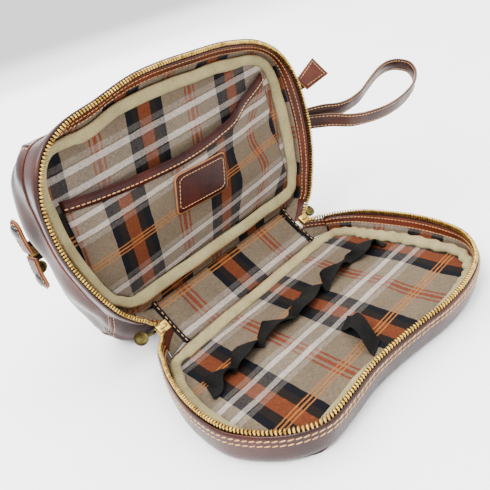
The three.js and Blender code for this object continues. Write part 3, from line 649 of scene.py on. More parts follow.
# ---- Tray: leather outside, lining and elastic inside --------------------------------------------------
shell = [
    (1.3, 16.0), (2.2, 15.6), (3.0, 14.0), (3.5, 11.0), (3.9, 7.0), (4.2, 3.0), (4.1, 0.0), (3.3, -2.4),
    (1.8, -4.0), (-0.6, -4.8), (-3.0, -4.95)
]
tray_wall = rim_sheet(
    "tray_leather", "base_tray", BROWN, TRAY, [(g, h, True) for g, h in shell], tray_ts, thick=1.0
)
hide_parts("base_rim_leather")
for row, height, grow in (("upper", 13.2, 3.15), ("lower", 10.0, 3.6)):
    line = TRAY.rim(tray_ts, grow, height, True)
    stitches(
            f"tray_bold_stitches_{row}", "base_tray", line, TRAY.outward(tray_ts), 4.4, 3.9, 1.05, 0.1, 0.22
        )


def disc(
    name, body, material, half, grow, height, cloth_of, relief=None, rings=26, around=200, loop=True,
    thick=0.0
):
    """A sheet that fills an outline, from its edge to its middle."""
    ts = np.linspace(0, 1, around, endpoint=False)
    edge = half.rim(ts, grow, 0)
    middle = edge.mean(0)
    shares = np.linspace(1, 0.002, rings)
    points = middle + (edge[:, None] - middle) * shares[None, :, None]
    points = points + rise_of(half) * height
    if relief is not None:
        points = points + rise_of(half) * relief(points)[..., None] * np.minimum(
            1, (1 - shares) * 8
        )[None, :, None]
    flat = np.concatenate([points, points[:1]], 0)
    return sheet(name, body, material, points, cloth_of(flat), loop=True, thick=thick)


def tray_cloth(points):
    x, y = points[..., 0], points[..., 1]
    ripple = 1.2 * np.sin(y / 11) * np.exp(-((x - 60) / 45) ** 2)
    return np.stack(
        [(x - 0.118 * y - 1.2 + ripple) / PLAID_ACROSS + 0.5, (y + 0.035 * x + 11) / PLAID_ALONG + 0.5], -1
    )


def tray_relief(points):
    x, y = points[..., 0], points[..., 1]
    return 0.35 + 0.35 * np.sin(x / 13 + y / 21) * np.cos(y / 17) + 0.2 * np.sin(x / 6 - y / 9)


tray_floor = disc("tray_lining", "base_tray", PLAID, TRAY, -0.6, 0.15, tray_cloth, tray_relief)
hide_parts("base_lining")
tray_base = disc("tray_underside", "base_tray", BROWN, TRAY, -1.5, -4.9, lambda p: p[..., :2], thick=1.4)
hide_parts("base_leather", "base_board")

TACKS = [(-105, 19), (-83, 23), (-56, 22), (-20, 21), (22, 20), (62, 25), (95, 13)]
elastic_knots = []
# Each loop: three shares of the way to the next tack, its low and high lift, and how far it leans aside.
LOOPS = [
    (0.30, 0.56, 0.82, 10.5, 12.5, 3.5),
    (0.2, 0.45, 0.78, 13.0, 12.0, -2.0),
    (0.28, 0.5, 0.8, 9.5, 14.5, 2.5),
    (0.22, 0.55, 0.84, 12.5, 10.5, -3.0),
    (0.25, 0.5, 0.76, 10.0, 14.0, 2.0),
    (0.3, 0.52, 0.82, 12.0, 13.0, -4.0),
]
for i, (x, y) in enumerate(TACKS):
    elastic_knots += [(x - 2.5, y, 6.1), (x + 2.5, y, 6.1)]
    if i < len(LOOPS):
        dx, dy = TACKS[i + 1][0] - x, TACKS[i + 1][1] - y
        first, second, third, low_lift, high_lift, aside = LOOPS[i]
        elastic_knots += [
            (x + first * dx, y + first * dy + aside, low_lift), (x + second * dx, y + second * dy, high_lift),
            (x + third * dx, y + third * dy - aside, low_lift - 1.5)
        ]
elastic_line = smooth_line(elastic_knots, 260)
turn = np.arange(260) / 260 * 2 * np.pi
elastic_across = np.stack(
    [0.55 * np.sin(6.0 * turn + 2.2), np.ones(260), -0.25 + 0.1 * np.sin(6.0 * turn + 1.2)], 1
)
elastic, _ = ribbon("elastic_long_web", "base_tray", ELASTIC, elastic_line, elastic_across, 17.5, 1.1, 0.35)
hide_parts("elastic_long")
short_line = smooth_line(
    [
        (-25, -58, 6.2), (-24, -55, 6.6), (-22.5, -50, 13.0), (-19, -44, 16.2), (-15, -36, 15.5),
        (-12, -29, 9.5), (-10.5, -25, 6.4), (-10, -22, 6.1)
    ],
    60
)
short, _ = ribbon("elastic_short_web", "base_tray", ELASTIC, short_line, (1.0, 0.3, 0.0), 16.5, 1.1, 0.3)
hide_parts("elastic_short")

# ---- Divider: outer leather, welt, lining and pocket ---------------------------------------------------
shell = [
    (1.3, 16.0), (2.4, 15.6), (3.1, 13.5), (3.6, 10.0), (3.9, 6.0), (4.1, 2.0), (4.1, -1.5), (3.7, -3.6),
    (2.2, -4.2)
]
divider_wall = rim_sheet("divider_leather", "main_compartment", BROWN, DIVIDER, shell, divider_ts, thick=1.0)
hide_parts("divider_rim_leather")
for row, height, grow in (("upper", 13.0, 3.2), ("lower", 9.6, 3.65)):
    line = DIVIDER.rim(divider_ts, grow, height)
    stitches(
            f"divider_bold_stitches_{row}", "main_compartment", line, DIVIDER.outward(divider_ts), 4.4, 3.7,
            0.95, 0.1, 0.22
        )
whole = np.linspace(0, 1, 240, endpoint=False)
welt_rows = []
for k in range(8):
    angle = 2 * math.pi * k / 8
    base = DIVIDER.rim(whole, 4.3 + 1.35 * math.cos(angle), 0)
    welt_rows.append(base - rise_of(DIVIDER) * (4.9 - 1.1 * math.sin(angle)))
welt = sheet(
    "divider_piping", "main_compartment", RED, np.stack(welt_rows, 1), plain_cloth(241, 9, 700, 8), loop=True,
    tube=True
)
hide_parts("divider_welt")


def divider_cloth(points):
    x, z = points[..., 0], points[..., 2]
    return np.stack(
        [(x + 24.5 + 0.2 * (155 - z)) / PLAID_ACROSS + 0.5, (z - 152.2 - 0.04 * x) / PLAID_ALONG + 0.5], -1
    )


def divider_relief(points):
    x, z = points[..., 0], points[..., 2]
    return 0.2 + 0.35 * np.sin(x / 17 + z / 23) + 0.25 * np.sin(z / 9 - x / 31)


divider_front = disc(
    "divider_lining_cloth", "main_compartment", PLAID, DIVIDER, -0.6, 0.15, divider_cloth, divider_relief
)
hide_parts("divider_lining", "divider_board")
divider_back = disc(
    "main_floor_cloth", "main_compartment", PLAID, DIVIDER, -0.6, -4.0,
    lambda p: np.stack([p[..., 0] / PLAID_ACROSS, p[..., 2] / PLAID_ALONG], -1), thick=0.8
)
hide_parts("main_floor_lining")

POCKET_LEFT, POCKET_RIGHT = -110.0, 104.0
pocket_edge = smooth_line(
    [(-110, 18), (-86, 14.5), (-42, 10.5), (3, 9.5), (47, 15.5), (76, 27), (104, 37)], 90
)
seam_ts = np.arange(DIVIDER.share_near(-130, -14) - 1, DIVIDER.share_near(134.5, -5), 0.002)
pocket_seam = DIVIDER.rim(seam_ts, -9.2, 0, False, 10.0)


def pocket_low(x):
    order = np.argsort(pocket_seam[:, 0])
    return np.interp(x, pocket_seam[order, 0], pocket_seam[order, 2]) - DIVIDER_Z


def pocket_lift(x, rise):
    share = (x - POCKET_LEFT) / (POCKET_RIGHT - POCKET_LEFT)
    sewn = np.maximum(0, 4 * share * (1 - share))
    belly = 0.5 + 7.0 * np.sqrt(sewn) * np.clip(rise, 0, 1) ** 0.7
    folds = 1.3 * np.sin((x - 58) / 7.5 + 2.4 * rise) * np.exp(-((x - 62) / 30) ** 2) * np.clip(rise, 0, 1)
    slack = 0.9 * np.sin(math.pi * np.clip(rise, 0, 1)) * sewn * (1 + np.sin(x / 21))
    return belly + folds + slack


def pocket_grid(low, high, rows, lift):
    share = np.linspace(0, 1, rows)
    x = pocket_edge[:, 0][:, None] + 0 * share
    y = low[:, None] + (high - low)[:, None] * share
    floor = pocket_low(x)
    rise = (y - floor) / (pocket_edge[:, 1][:, None] - floor)
    return np.stack([x, DIVIDER_Y - pocket_lift(x, rise) - lift, DIVIDER_Z + y], -1)


def pocket_cloth(points):
    x, z = points[..., 0], points[..., 2]
    climb = (z - 70) / 48
    lean = (3 + 10 * ease(x, -70, 33)) * climb
    bend = 9.0 * np.sin(climb * 4.2 + 0.6) * ease(x, 20, 70)
    return np.stack([(x - lean - bend + 70) / 90 + 0.5, (z - 93 - 0.07 * (x + 10)) / 62], -1)


cloth_grid = pocket_grid(pocket_low(pocket_edge[:, 0]), pocket_edge[:, 1] + 1.0, 34, 0.6)
pocket = sheet("pocket_panel", "main_compartment", PLAID, cloth_grid, pocket_cloth(cloth_grid), thick=0.5)
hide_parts("pocket_cloth")
trim_rows = []
for height, proud in (
    (0.2, 0.0), (0.0, 1.0), (0.5, 1.7), (2.0, 2.0), (4.3, 2.1), (6.6, 2.0), (8.2, 1.7), (8.8, 0.9),
    (8.6, 0.0), (8.2, -0.7), (4.3, -0.9), (0.8, -0.7)
):
    y = pocket_edge[:, 1] + height
    trim_rows.append(np.stack(
        [pocket_edge[:, 0], DIVIDER_Y - pocket_lift(pocket_edge[:, 0], 1.0) - proud, DIVIDER_Z + y], -1
    ))
trim = sheet(
    "pocket_band", "main_compartment", TRIM, np.stack(trim_rows, 1), plain_cloth(90, 13, 220, 20), tube=True,
    caps=True
)
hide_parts("pocket_trim")
trim_line = np.stack(
    [
        pocket_edge[:, 0], DIVIDER_Y - pocket_lift(pocket_edge[:, 0], 1.0) - 2.15,
        DIVIDER_Z + pocket_edge[:, 1] + 2.8
    ],
    -1
)
stitches("pocket_band_stitches", "main_compartment", trim_line, (0, -1, 0), 3.9, 3.0, 0.9)


# The blank maker's patch, sewn on with its raw edge showing.
def patch_points(grow, lift, rows=14, columns=22):
    v, u = np.meshgrid(np.linspace(0, 1, rows), np.linspace(0, 1, columns), indexing="xy")
    x = -29 - grow + (54 + 2 * grow) * u + 7.5 * v
    y = -25 - grow + (29.5 + 2 * grow) * v - 2 * u
    corner = np.maximum(0, np.abs(2 * u - 1) ** 14 + np.abs(2 * v - 1) ** 14 - 1)
    x = x + 1.2 * corner * np.sign(0.5 - u)
    y = y + 1.2 * corner * np.sign(0.5 - v)
    floor = pocket_low(x)
    rise = (y - floor) / (9.5 - floor)
    return np.stack([x, DIVIDER_Y - pocket_lift(x, rise) - lift, DIVIDER_Z + y], -1)


raw = sheet(
    "patch_raw_edge", "main_compartment", RAW_EDGE, patch_points(0.5, 2.2), plain_cloth(22, 14, 54, 30),
    thick=1.3
)
patch = sheet(
    "patch_leather", "main_compartment", TRIM, patch_points(-0.4, 2.6), plain_cloth(22, 14, 54, 30), thick=0.8
)
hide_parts("label_patch")
inner = patch_points(-3.2, 2.75)
border = np.vstack([inner[:, 0], inner[-1, 1:], inner[-2::-1, -1], inner[0, -2::-1]])
stitches("patch_stitches", "main_compartment", border, (0, -1, 0), 3.1, 2.4, 0.6)

# ---- Hinge band ----------------------------------------------------------------------------------------
BAND_LEFT, BAND_RIGHT, BAND_LENGTH = -73.0, 84.0, 38.2
TILT = math.sqrt(0.5)


def band_place(x, along, lift):
    """A place on the sloping band: along from the tray's fold, and off its lining."""
    return np.stack(
        [x + 0 * along, FOLD_Y + (along - lift) * TILT + 0 * x, TRAY_FLOOR + (along + lift) * TILT + 0 * x],
        -1
    )


bx, ba = np.meshgrid(
    np.linspace(BAND_LEFT - 1, BAND_RIGHT + 1, 90), np.linspace(-0.6, BAND_LENGTH + 0.6, 22), indexing="ij"
)
hang_share = np.sin(np.pi * np.clip(ba / BAND_LENGTH, 0, 1))
sag = -0.2 + 0.5 * np.sin(bx / 19 + ba / 9) * hang_share - 0.6 * hang_share
band_cloth = np.stack([(bx - 4.25 + 0.05 * ba) / 97 + 0.5, (ba + 1.5) / PLAID_ALONG + 0.5], -1)
band_front = sheet("hinge_lining", "hinge_band", PLAID, band_place(bx, ba, sag), band_cloth, thick=0.5)
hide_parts("band_lining")
band_back = sheet(
    "hinge_leather", "hinge_band", BROWN, band_place(bx, ba, -1.5 + 0 * sag), plain_cloth(90, 22, 157, 38),
    thick=1.4
)
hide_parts("band_leather")
for side, end, sign in (("left", BAND_LEFT, -1), ("right", BAND_RIGHT, 1)):
    reach = np.linspace(-3.5, BAND_LENGTH + 4.5, 70)
    curl = 0.9 * np.sin(reach / 6 + (sign + 1))
    lift = 0.5 + 0.5 * np.sin(reach / 5)
    line = band_place(end + sign * (1.9 + curl * 0.3), reach, lift)
    line[:, 2] = np.maximum(line[:, 2], 6.4)
    line[:, 1] = np.minimum(line[:, 1], DIVIDER_Y - 1.6)
    tape, _ = ribbon(f"hinge_seam_{side}", "hinge_band", BLACK_TAPE, line, (1.0, 0, 0), 4.4, 1.5, 0.4)
    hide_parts(f"band_seam_{side}")
    toward = np.array([0.0, -TILT, TILT])
    stitches(f"hinge_seam_thread_{side}", "hinge_band", line + toward * 1.2, toward, 4.6, 3.0, 0.7)


# ---- Corners of the zip, between the rims and the sliders ----------------------------------------------
def corner(side, half, t, word, bodies):
    slider_low, slider_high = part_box(f"zip_slider_{side}")
    slider = np.array((slider_low + slider_high) / 2) / MM
    sign = -1 if side == "left" else 1
    toward = -1 if not half.upright else 1
    begin = half.rim([t], 0, 16.9)[0]
    finish_at = slider + np.array([-1.0 * sign, 1.6 * toward, 1.6 * toward])
    bulge = (begin + finish_at) / 2 + np.array([1.6 * sign, 0, 0.6])
    chain = smooth_line([begin, bulge, finish_at], 30)
    out = half.outward([t])[0]
    share = np.linspace(0, 1, 30)[:, None]
    across = unit(out * (1 - share) + np.array([0.6 * sign, -0.4, 0.4]) * share)
    end_up = np.array([0.7 * sign, TILT * 0.6 * toward, TILT * 0.6 * toward])
    up = unit(rise_of(half) * (1 - share) + end_up * share)
    start, end = Vector(begin * MM), Vector(finish_at * MM)
    if half.upright:
        start, end = end, start

    def bending(piece):
        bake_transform(piece)

    bending(zip_teeth(f"{word}_corner_teeth_{side}", None, chain, across, up))
    strip_foot = half.rim([t], -0.4, 7.2)[0]
    seam_x = (BAND_LEFT - 2.5) if sign < 0 else (BAND_RIGHT + 2.5)
    strip_end = np.array([
        seam_x + 1.5 * sign, slider[1] + 3.5 * toward + 2.0, slider[2] + 3.5 * toward - 3.2
    ])
    foot_line = smooth_line(
        [strip_foot, (strip_foot + strip_end) / 2 + np.array([0.8 * sign, 0, 0]), strip_end], 30
    )
    top_line = chain - up * 2.2
    wide = np.linspace(0, 1, 9)[None, :, None]
    strip_points = top_line[:, None] * (1 - wide) + foot_line[:, None] * wide
    bending(
        sheet(f"{word}_corner_strip_{side}", None, RED, strip_points, plain_cloth(30, 9, 20, 9), thick=0.9),
    )
    normal = unit(np.cross(np.gradient(strip_points, axis=0), np.gradient(strip_points, axis=1)))[:, 4]
    normal = normal * np.sign((normal * -np.array([0.9 * sign, 0.5, -0.6])).sum(1))[:, None]
    for row, part in (("upper", 0.22), ("lower", 0.66)):
        line = top_line * (1 - part) + foot_line * part
        bending(
            stitches(
                f"{word}_corner_stitches_{side}_{row}", None, line + normal * 0.2, normal, 3.3, 2.35, 0.62
            ),
        )
    cloth_foot = half.rim([t], -1.0, 1.0)[0]
    seam_far = band_place(
        np.array(seam_x + 0.0), np.array(1.5 if not half.upright else BAND_LENGTH - 1.5), np.array(0.0)
    )
    hem = smooth_line([cloth_foot, (cloth_foot + seam_far) / 2, seam_far], 30)
    cloth_points = foot_line[:, None] * (1 - wide) + hem[:, None] * wide
    flat = np.stack(
        [
            cloth_points[..., 0] / PLAID_ACROSS + 0.1,
            (cloth_points[..., 1] + cloth_points[..., 2]) / 300 - 0.2
        ],
        -1
    )
    bending(sheet(f"{word}_corner_cloth_{side}", None, PLAID, cloth_points, flat, thick=0.4))


TRAY_BAND = ("base_tray", "hinge_band")
BAND_MAIN = ("hinge_band", "main_compartment")
corner("right", TRAY, tray_ends[0], "tray", TRAY_BAND)
corner("left", TRAY, tray_ends[1], "tray", TRAY_BAND)
corner("right", DIVIDER, divider_ends[0], "divider", BAND_MAIN)
corner("left", DIVIDER, divider_ends[1], "divider", BAND_MAIN)


# ---- Main bag: the sagging leather shell ---------------------------------------------------------------
SHELL_START, RIDGE_DEPTH, RIDGE_DROP, SLOT = 5.8, 73.0, 19.0, 7.0
RIDGE_LEFT, RIDGE_RIGHT = -110.0, 134.0
foot_ts = np.linspace(0, 1, 300, endpoint=False)
foot = DIVIDER.rim(foot_ts, 3.4, 0)
foot_x, foot_y = foot[:, 0], foot[:, 2] - DIVIDER_Z
top_edge, low_edge = foot_y.max(), foot_y.min()


def profile(values, s):
    line = smooth_line([(i, v) for i, v in enumerate(values)], 400)
    return np.interp(s * (len(values) - 1), line[:, 0], line[:, 1])


ss = np.linspace(0, 1, 56)
upper = profile([top_edge, 74, 72, 62, 34, -RIDGE_DROP + SLOT], ss)
under = np.maximum(-DIVIDER_Z + 0.4, profile([low_edge, -108, -116, -116, -95, -RIDGE_DROP - SLOT], ss))
left = profile([1, 1.0, 0.995, 0.955, 0.90, RIDGE_LEFT / foot_x.min()], ss)
right = profile([1, 1.02, 1.05, 1.07, 1.08, RIDGE_RIGHT / foot_x.max()], ss)
height_share = ((foot_y - low_edge) / (top_edge - low_edge))[:, None]
shell_x = foot_x[:, None] * np.where(foot_x[:, None] < 0, left[None], right[None])
shell_z = DIVIDER_Z + under[None] + (upper - under)[None] * height_share
shell_y = DIVIDER_Y + SHELL_START + (RIDGE_DEPTH - SHELL_START) * ss[None] + 0 * shell_x
shell_points = np.stack([shell_x, shell_y, shell_z], -1)
normal = np.cross(
    np.gradient(shell_points, axis=1), np.roll(shell_points, -1, 0) - np.roll(shell_points, 1, 0)
)
normal = unit(normal)
centre = np.array([0, DIVIDER_Y + 36, DIVIDER_Z - 19])
if (normal * (shell_points - centre)).sum() < 0:
    normal = -normal
middle_share = np.sin(np.pi * np.clip(ss, 0, 1))[None] ** 0.7
x, y, z = shell_points[..., 0], shell_points[..., 1], shell_points[..., 2]
slump = 1.6 * np.sin(x / 24 + z / 31) * np.sin(y / 13 + x / 60)
slump = slump + 1.1 * np.sin(z / 12 + y / 9 + 0.5 * np.sin(x / 15))
end_folds = np.exp(-((x + 118) / 26) ** 2) * (2.6 * np.sin(y / 7.0 - z / 19) + 1.2 * np.sin(z / 8))
end_folds = end_folds + np.exp(-((x - 128) / 26) ** 2) * (2.0 * np.sin(y / 8.0 + z / 17))
top_sag = -2.5 * np.exp(-((x - 15) / 60) ** 2) * ease(z, 150, 190)
bulge = (slump + end_folds + top_sag) * middle_share
above = np.clip((z - 2.5) / 10, 0, 1)
shell_points = shell_points + normal * (bulge * above)[..., None]
shell_points[..., 2] = np.maximum(shell_points[..., 2], 0.35)
shell_piece = sheet(
    "bag_shell", "main_compartment", BROWN, shell_points, plain_cloth(301, 56, 760, 110), loop=True,
    thick=-1.8
)
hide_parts("bottom_side_panel", "right_end_panel", "top_side_panel", "left_end_panel")
lining_points = centre + (shell_points[::3, 2:53:3] - centre) * 0.965
lining_cloth = np.stack(
    np.meshgrid(np.linspace(0, 8, 101), np.linspace(0, 1.1, lining_points.shape[1]), indexing="ij"), -1
)
bag_lining = sheet("bag_lining", "main_compartment", PLAID, lining_points, lining_cloth, loop=True)
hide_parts("main_lining")
for word, px, py in (
    ("low_right", 118, 60), ("high_right", 112, -61), ("high_left", -107, -66), ("low_left", -106, 66)
):
    column = int(round(DIVIDER.share_near(px, py) * 300)) % 300
    for k, step in (("a", -1), ("b", 1)):
        line = shell_points[(column + step) % 300, 1:54]
        stitches(
                f"shell_seam_{word}_{k}", "main_compartment", line, normal[(column + step) % 300, 1:54], 4.4,
                3.4, 0.8
            )
    ridge_rows = []
    line = shell_points[column, 0:55]
    out = normal[column, 0:55]
    side = unit(np.cross(directions(line), out))
    for j in range(7):
        angle = 2 * math.pi * j / 7
        ridge_rows.append(line + out * (0.3 + 0.9 * math.sin(angle)) + side * 1.1 * math.cos(angle))
    sheet(
            f"shell_piping_{word}", "main_compartment", BROWN, np.stack(ridge_rows, 1),
            plain_cloth(55, 8, 90, 6), tube=True, caps=True
        )

# ---- Top zip, its slider and pull ----------------------------------------------------------------------
tape_low, tape_high = (np.array(v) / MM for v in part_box("top_zip_tape"))
zip_z = (tape_low[2] + tape_high[2]) / 2
zip_x = np.linspace(tape_low[0], tape_high[0], 120)
dip = -1.2 * np.sin(np.pi * (zip_x - zip_x[0]) / (zip_x[-1] - zip_x[0]))
tape_rows = []
for across, proud in (
    (-9, 0.2), (-8.6, 1.0), (-5, 1.2), (0, 1.1), (5, 1.2), (8.6, 1.0), (9, 0.2), (6, -0.1), (-6, -0.1)
):
    tape_rows.append(np.stack([zip_x, tape_low[1] + proud + 0 * zip_x, zip_z + across + dip], -1))
ridge_tape = sheet(
    "ridge_tape", "main_compartment", TAPE, np.stack(tape_rows, 1), plain_cloth(120, 10, 245, 20), tube=True,
    caps=True
)
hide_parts("top_zip_tape")
ridge_line = np.stack([zip_x, tape_high[1] + 1.2 + 0 * zip_x, zip_z + dip], -1)[4:-4]
ridge_teeth = zip_teeth(
    "ridge_teeth", "main_compartment", ridge_line, np.array([0.0, 1.0, 0.0]), np.array([0.0, 0.0, 1.0]), 1.9
)
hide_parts("top_zip_teeth")
for word, across in (("upper", 6.8), ("lower", -6.8)):
    line = np.stack([zip_x, tape_low[1] + 1.35 + 0 * zip_x, zip_z + across + dip], -1)
    stitches(f"ridge_stitches_{word}", "main_compartment", line, (0, 1, 0), 3.6, 2.8, 0.7)


def rounded_block(size, at, turn, bevel, material, name, body):
    """A block with rounded edges, turned and put in place."""
    bpy.ops.object.select_all(action="DESELECT")
    bpy.ops.mesh.primitive_cube_add(size=1)
    block = bpy.context.object
    block.scale = [v * MM for v in size]
    bpy.ops.object.transform_apply(scale=True)
    bpy.ops.object.mode_set(mode="EDIT")
    bpy.ops.mesh.select_all(action="SELECT")
    bpy.ops.mesh.bevel(offset=bevel * MM, segments=3)
    bpy.ops.object.mode_set(mode="OBJECT")
    bpy.ops.object.shade_smooth_by_angle(angle=math.radians(50))
    apply_all(block)
    block.data.transform(Matrix.Translation(Vector(at) * MM) @ turn)
    block.name = name
    block.data.materials.append(material)
    if body:
        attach(block, body)
    return block


def joined(name, body, parts):
    bpy.ops.object.select_all(action="DESELECT")
    for part in parts:
        part.select_set(True)
    bpy.context.view_layer.objects.active = parts[0]
    bpy.ops.object.join()
    piece = parts[0]
    piece.name = name
    if body:
        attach(piece, body)
    return piece


def slider_piece(name, body, cad, at, turn):
    """A zip slider: two plates with a wedge between them, and a loop on top for the pull."""
    def spot(x, y, z):
        return np.array(turn.to_3x3() @ Vector((x, y, z))) + at
    parts = [
        rounded_block((10.2, 8.6, 1.5), spot(0, 0, 2.0), turn, 0.7, BRASS, "plate", None),
        rounded_block((10.2, 8.6, 1.5), spot(0, 0, -2.0), turn, 0.7, BRASS, "plate", None),
        rounded_block((3.0, 2.6, 4.0), spot(3.2, 0, 0), turn, 0.5, BRASS, "wedge", None),
        rounded_block((6.4, 2.2, 1.4), spot(0, 0, 3.5), turn, 0.6, BRASS, "loop", None),
    ]
    piece = joined(name, body, parts)
    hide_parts(cad)
    return piece


def coin_piece(name, body, cad, pivot, turn):
    """A coin pull: its rim stands a little proud, and a short link joins it to the slider."""
    bpy.ops.object.select_all(action="DESELECT")
    bpy.ops.mesh.primitive_cylinder_add(
        vertices=40, radius=5.6 * MM, depth=1.5 * MM, location=(-16 * MM, 0, 0)
    )
    coin = bpy.context.object
    bpy.ops.object.transform_apply(location=True)
    bpy.ops.object.mode_set(mode="EDIT")
    bpy.ops.mesh.select_all(action="DESELECT")
    bpy.ops.object.mode_set(mode="OBJECT")
    for face in coin.data.polygons:
        face.select = abs(face.normal.z) > 0.9
    bpy.ops.object.mode_set(mode="EDIT")
    bpy.ops.mesh.inset(thickness=1.0 * MM, use_individual=True)
    bpy.ops.mesh.inset(thickness=0.35 * MM, depth=-0.3 * MM, use_individual=True)
    bpy.ops.mesh.inset(thickness=1.6 * MM, depth=0.25 * MM, use_individual=True)
    bpy.ops.mesh.select_all(action="SELECT")
    bpy.ops.object.mode_set(mode="OBJECT")
    rounding = coin.modifiers.new("rounding", "BEVEL")
    rounding.width = 0.18 * MM
    rounding.segments = 2
    apply_all(coin)
    bpy.ops.object.shade_smooth_by_angle(angle=math.radians(40))
    apply_all(coin)
    coin.data.materials.append(OLD_BRASS)
    identity = Matrix.Identity(4)
    parts = [
        coin,
        rounded_block((11.0, 2.4, 1.3), (-5.2, 0, 0), identity, 0.5, OLD_BRASS, "link", None),
        rounded_block((1.6, 3.6, 2.2), (0.4, 0, 0), identity, 0.6, OLD_BRASS, "eye", None),
    ]
    piece = joined(name, None, parts)
    piece.data.transform(Matrix.Translation(Vector(pivot) * MM) @ turn)
    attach(piece, body)
    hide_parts(cad)
    return piece


band_turn = Matrix.Rotation(math.radians(45), 4, "X")
for side, sign in (("left", -1), ("right", 1)):
    low, high = (np.array(v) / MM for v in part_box(f"zip_slider_{side}"))
    half_turn = Matrix.Rotation(math.pi if sign < 0 else 0, 4, "Z")
    slider_piece(
        f"slider_{side}", "hinge_band", f"zip_slider_{side}", (low + high) / 2, band_turn @ half_turn
    )
    pivot = band_place(np.array((low[0] + high[0]) / 2 + sign), np.array(20.6), np.array(-0.8))
    swing = Matrix.Rotation(-0.2 if sign < 0 else math.pi + 0.2, 4, "Z")
    coin_piece(f"coin_pull_{side}", f"{side}_pull", f"zip_pull_{side}", pivot, band_turn @ swing)
low, high = (np.array(v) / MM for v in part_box("top_slider"))
back_turn = Matrix(((-1, 0, 0, 0), (0, 0, 1, 0), (0, 1, 0, 0), (0, 0, 0, 1)))
slider_piece("slider_top", "top_slider", "top_slider", (low + high) / 2 + np.array([0, -0.9, 0]), back_turn)
low, high = (np.array(v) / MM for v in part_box("top_pull"))
hang = Matrix(((0, 1, 0, 0), (0, 0, 1, 0), (1, 0, 0, 0), (0, 0, 0, 1)))
top_pivot = ((low[0] + high[0]) / 2, (low[1] + high[1]) / 2, high[2] - 1.0)
coin_piece("coin_pull_top", "top_pull", "top_pull", top_pivot, hang)

# ---- Snap tabs at the left end -------------------------------------------------------------------------
for word, sign in (("upper", 1), ("lower", -1)):
    low, high = (np.array(v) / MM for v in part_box(f"snap_tab_{word}"))
    mid_y, half_wide = (low[1] + high[1]) / 2, (high[1] - low[1]) / 2 - 0.3
    root = low[2] if sign > 0 else high[2]
    straight, tall = 20.0, 27.6
    face = []
    for share in np.linspace(0, 1, 20):
        rise = share * tall
        past = max(0.0, rise - straight) / (tall - straight)
        wide = max(half_wide * math.sqrt(max(0.0, 1 - past ** 2)), 0.3)
        cup = 0.9 * math.sin(math.pi * share)
        row = []
        for w in np.linspace(-1, 1, 11):
            row.append((high[0] - 0.3 - cup - 0.5 * (1 - w * w), mid_y + w * wide, root + sign * rise))
        face.append(row)
    face = np.array(face)
    edge = sheet(
        f"tab_edge_{word}", f"snap_tab_{word}", RAW_EDGE, face, plain_cloth(20, 11, 28, 16), thick=1.9 * -sign
    )
    tab_inner = face.copy()
    tab_inner[..., 1] = mid_y + (face[..., 1] - mid_y) * 0.94
    tab_inner[..., 2] = root + (face[..., 2] - root) * 0.975
    tab_inner[..., 0] -= 1.6
    tab = sheet(
        f"tab_leather_{word}", f"snap_tab_{word}", RED, tab_inner, plain_cloth(20, 11, 28, 16),
        thick=0.8 * -sign
    )
    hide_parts(f"snap_tab_{word}")
    ring = np.vstack([tab_inner[1:18, 1], tab_inner[18, 1:-1], tab_inner[17:0:-1, -2]])
    ring = ring + np.array([-0.9, 0, 0])
    stitches(f"tab_stitches_{word}", f"snap_tab_{word}", ring, (-1, 0, 0), 3.2, 2.5, 0.65)
    low, high = (np.array(v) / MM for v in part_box(f"snap_cap_{word}"))
    bpy.ops.object.select_all(action="DESELECT")
    bpy.ops.mesh.primitive_uv_sphere_add(segments=32, ring_count=16, radius=1)
    cap = bpy.context.object
    cap.scale = (2.4 * MM, 5.6 * MM, 6.1 * MM)
    bpy.ops.object.transform_apply(scale=True)
    cap_at = Vector(((high[0] - 1.0) * MM, (low[1] + high[1]) / 2 * MM, (low[2] + high[2]) / 2 * MM))
    cap.data.transform(Matrix.Translation(cap_at))
    cap.data.polygons.foreach_set("use_smooth", [True] * len(cap.data.polygons))
    cap.name = f"cap_{word}"
    cap.data.materials.append(SNAP)
    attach(cap, f"snap_tab_{word}")
    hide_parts(f"snap_cap_{word}")


# ---- Zip tail, end tab and wrist strap -----------------------------------------------------------------
def from_main(x, y, z):
    return np.array([x, DIVIDER_Y - z, DIVIDER_Z + y])


tail_line = smooth_line(
    [from_main(135.5, -18, -72), from_main(156, -12, -61), from_main(175, -1, -45), from_main(193, 9, -31.5)],
    60
)
tail, tail_up = ribbon("zip_tail_tape", "zip_tail", TAPE, tail_line, (-0.13, 0.58, 0.8), 9.5, 1.1)
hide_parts("zip_tail")
tail_teeth = zip_teeth(
    "zip_tail_teeth", "zip_tail", tail_line[:-6], tail_up[:-6], np.array([-0.13, 0.58, 0.8]), 2.2
)
tab_axis = unit(np.array([0.815, -0.398, 0.422]))
tab_across = unit(np.array([-0.13, 0.584, 0.802]))
tab_normal = unit(np.cross(tab_axis, tab_across))
tab_across = np.cross(tab_normal, tab_axis)
tab_start = from_main(191, 8, -32) + tab_axis * 0.8


def tab_points(grow, lift):
    rows = []
    for share in np.linspace(0, 1, 16):
        reach = -grow + (27 + 2 * grow) * share
        half_wide = 7.8 + 3.7 * share + grow
        middle = tab_start + tab_axis * reach + tab_normal * lift
        rows.append([middle + tab_across * w * half_wide for w in np.linspace(-1, 1, 12)])
    return np.array(rows)


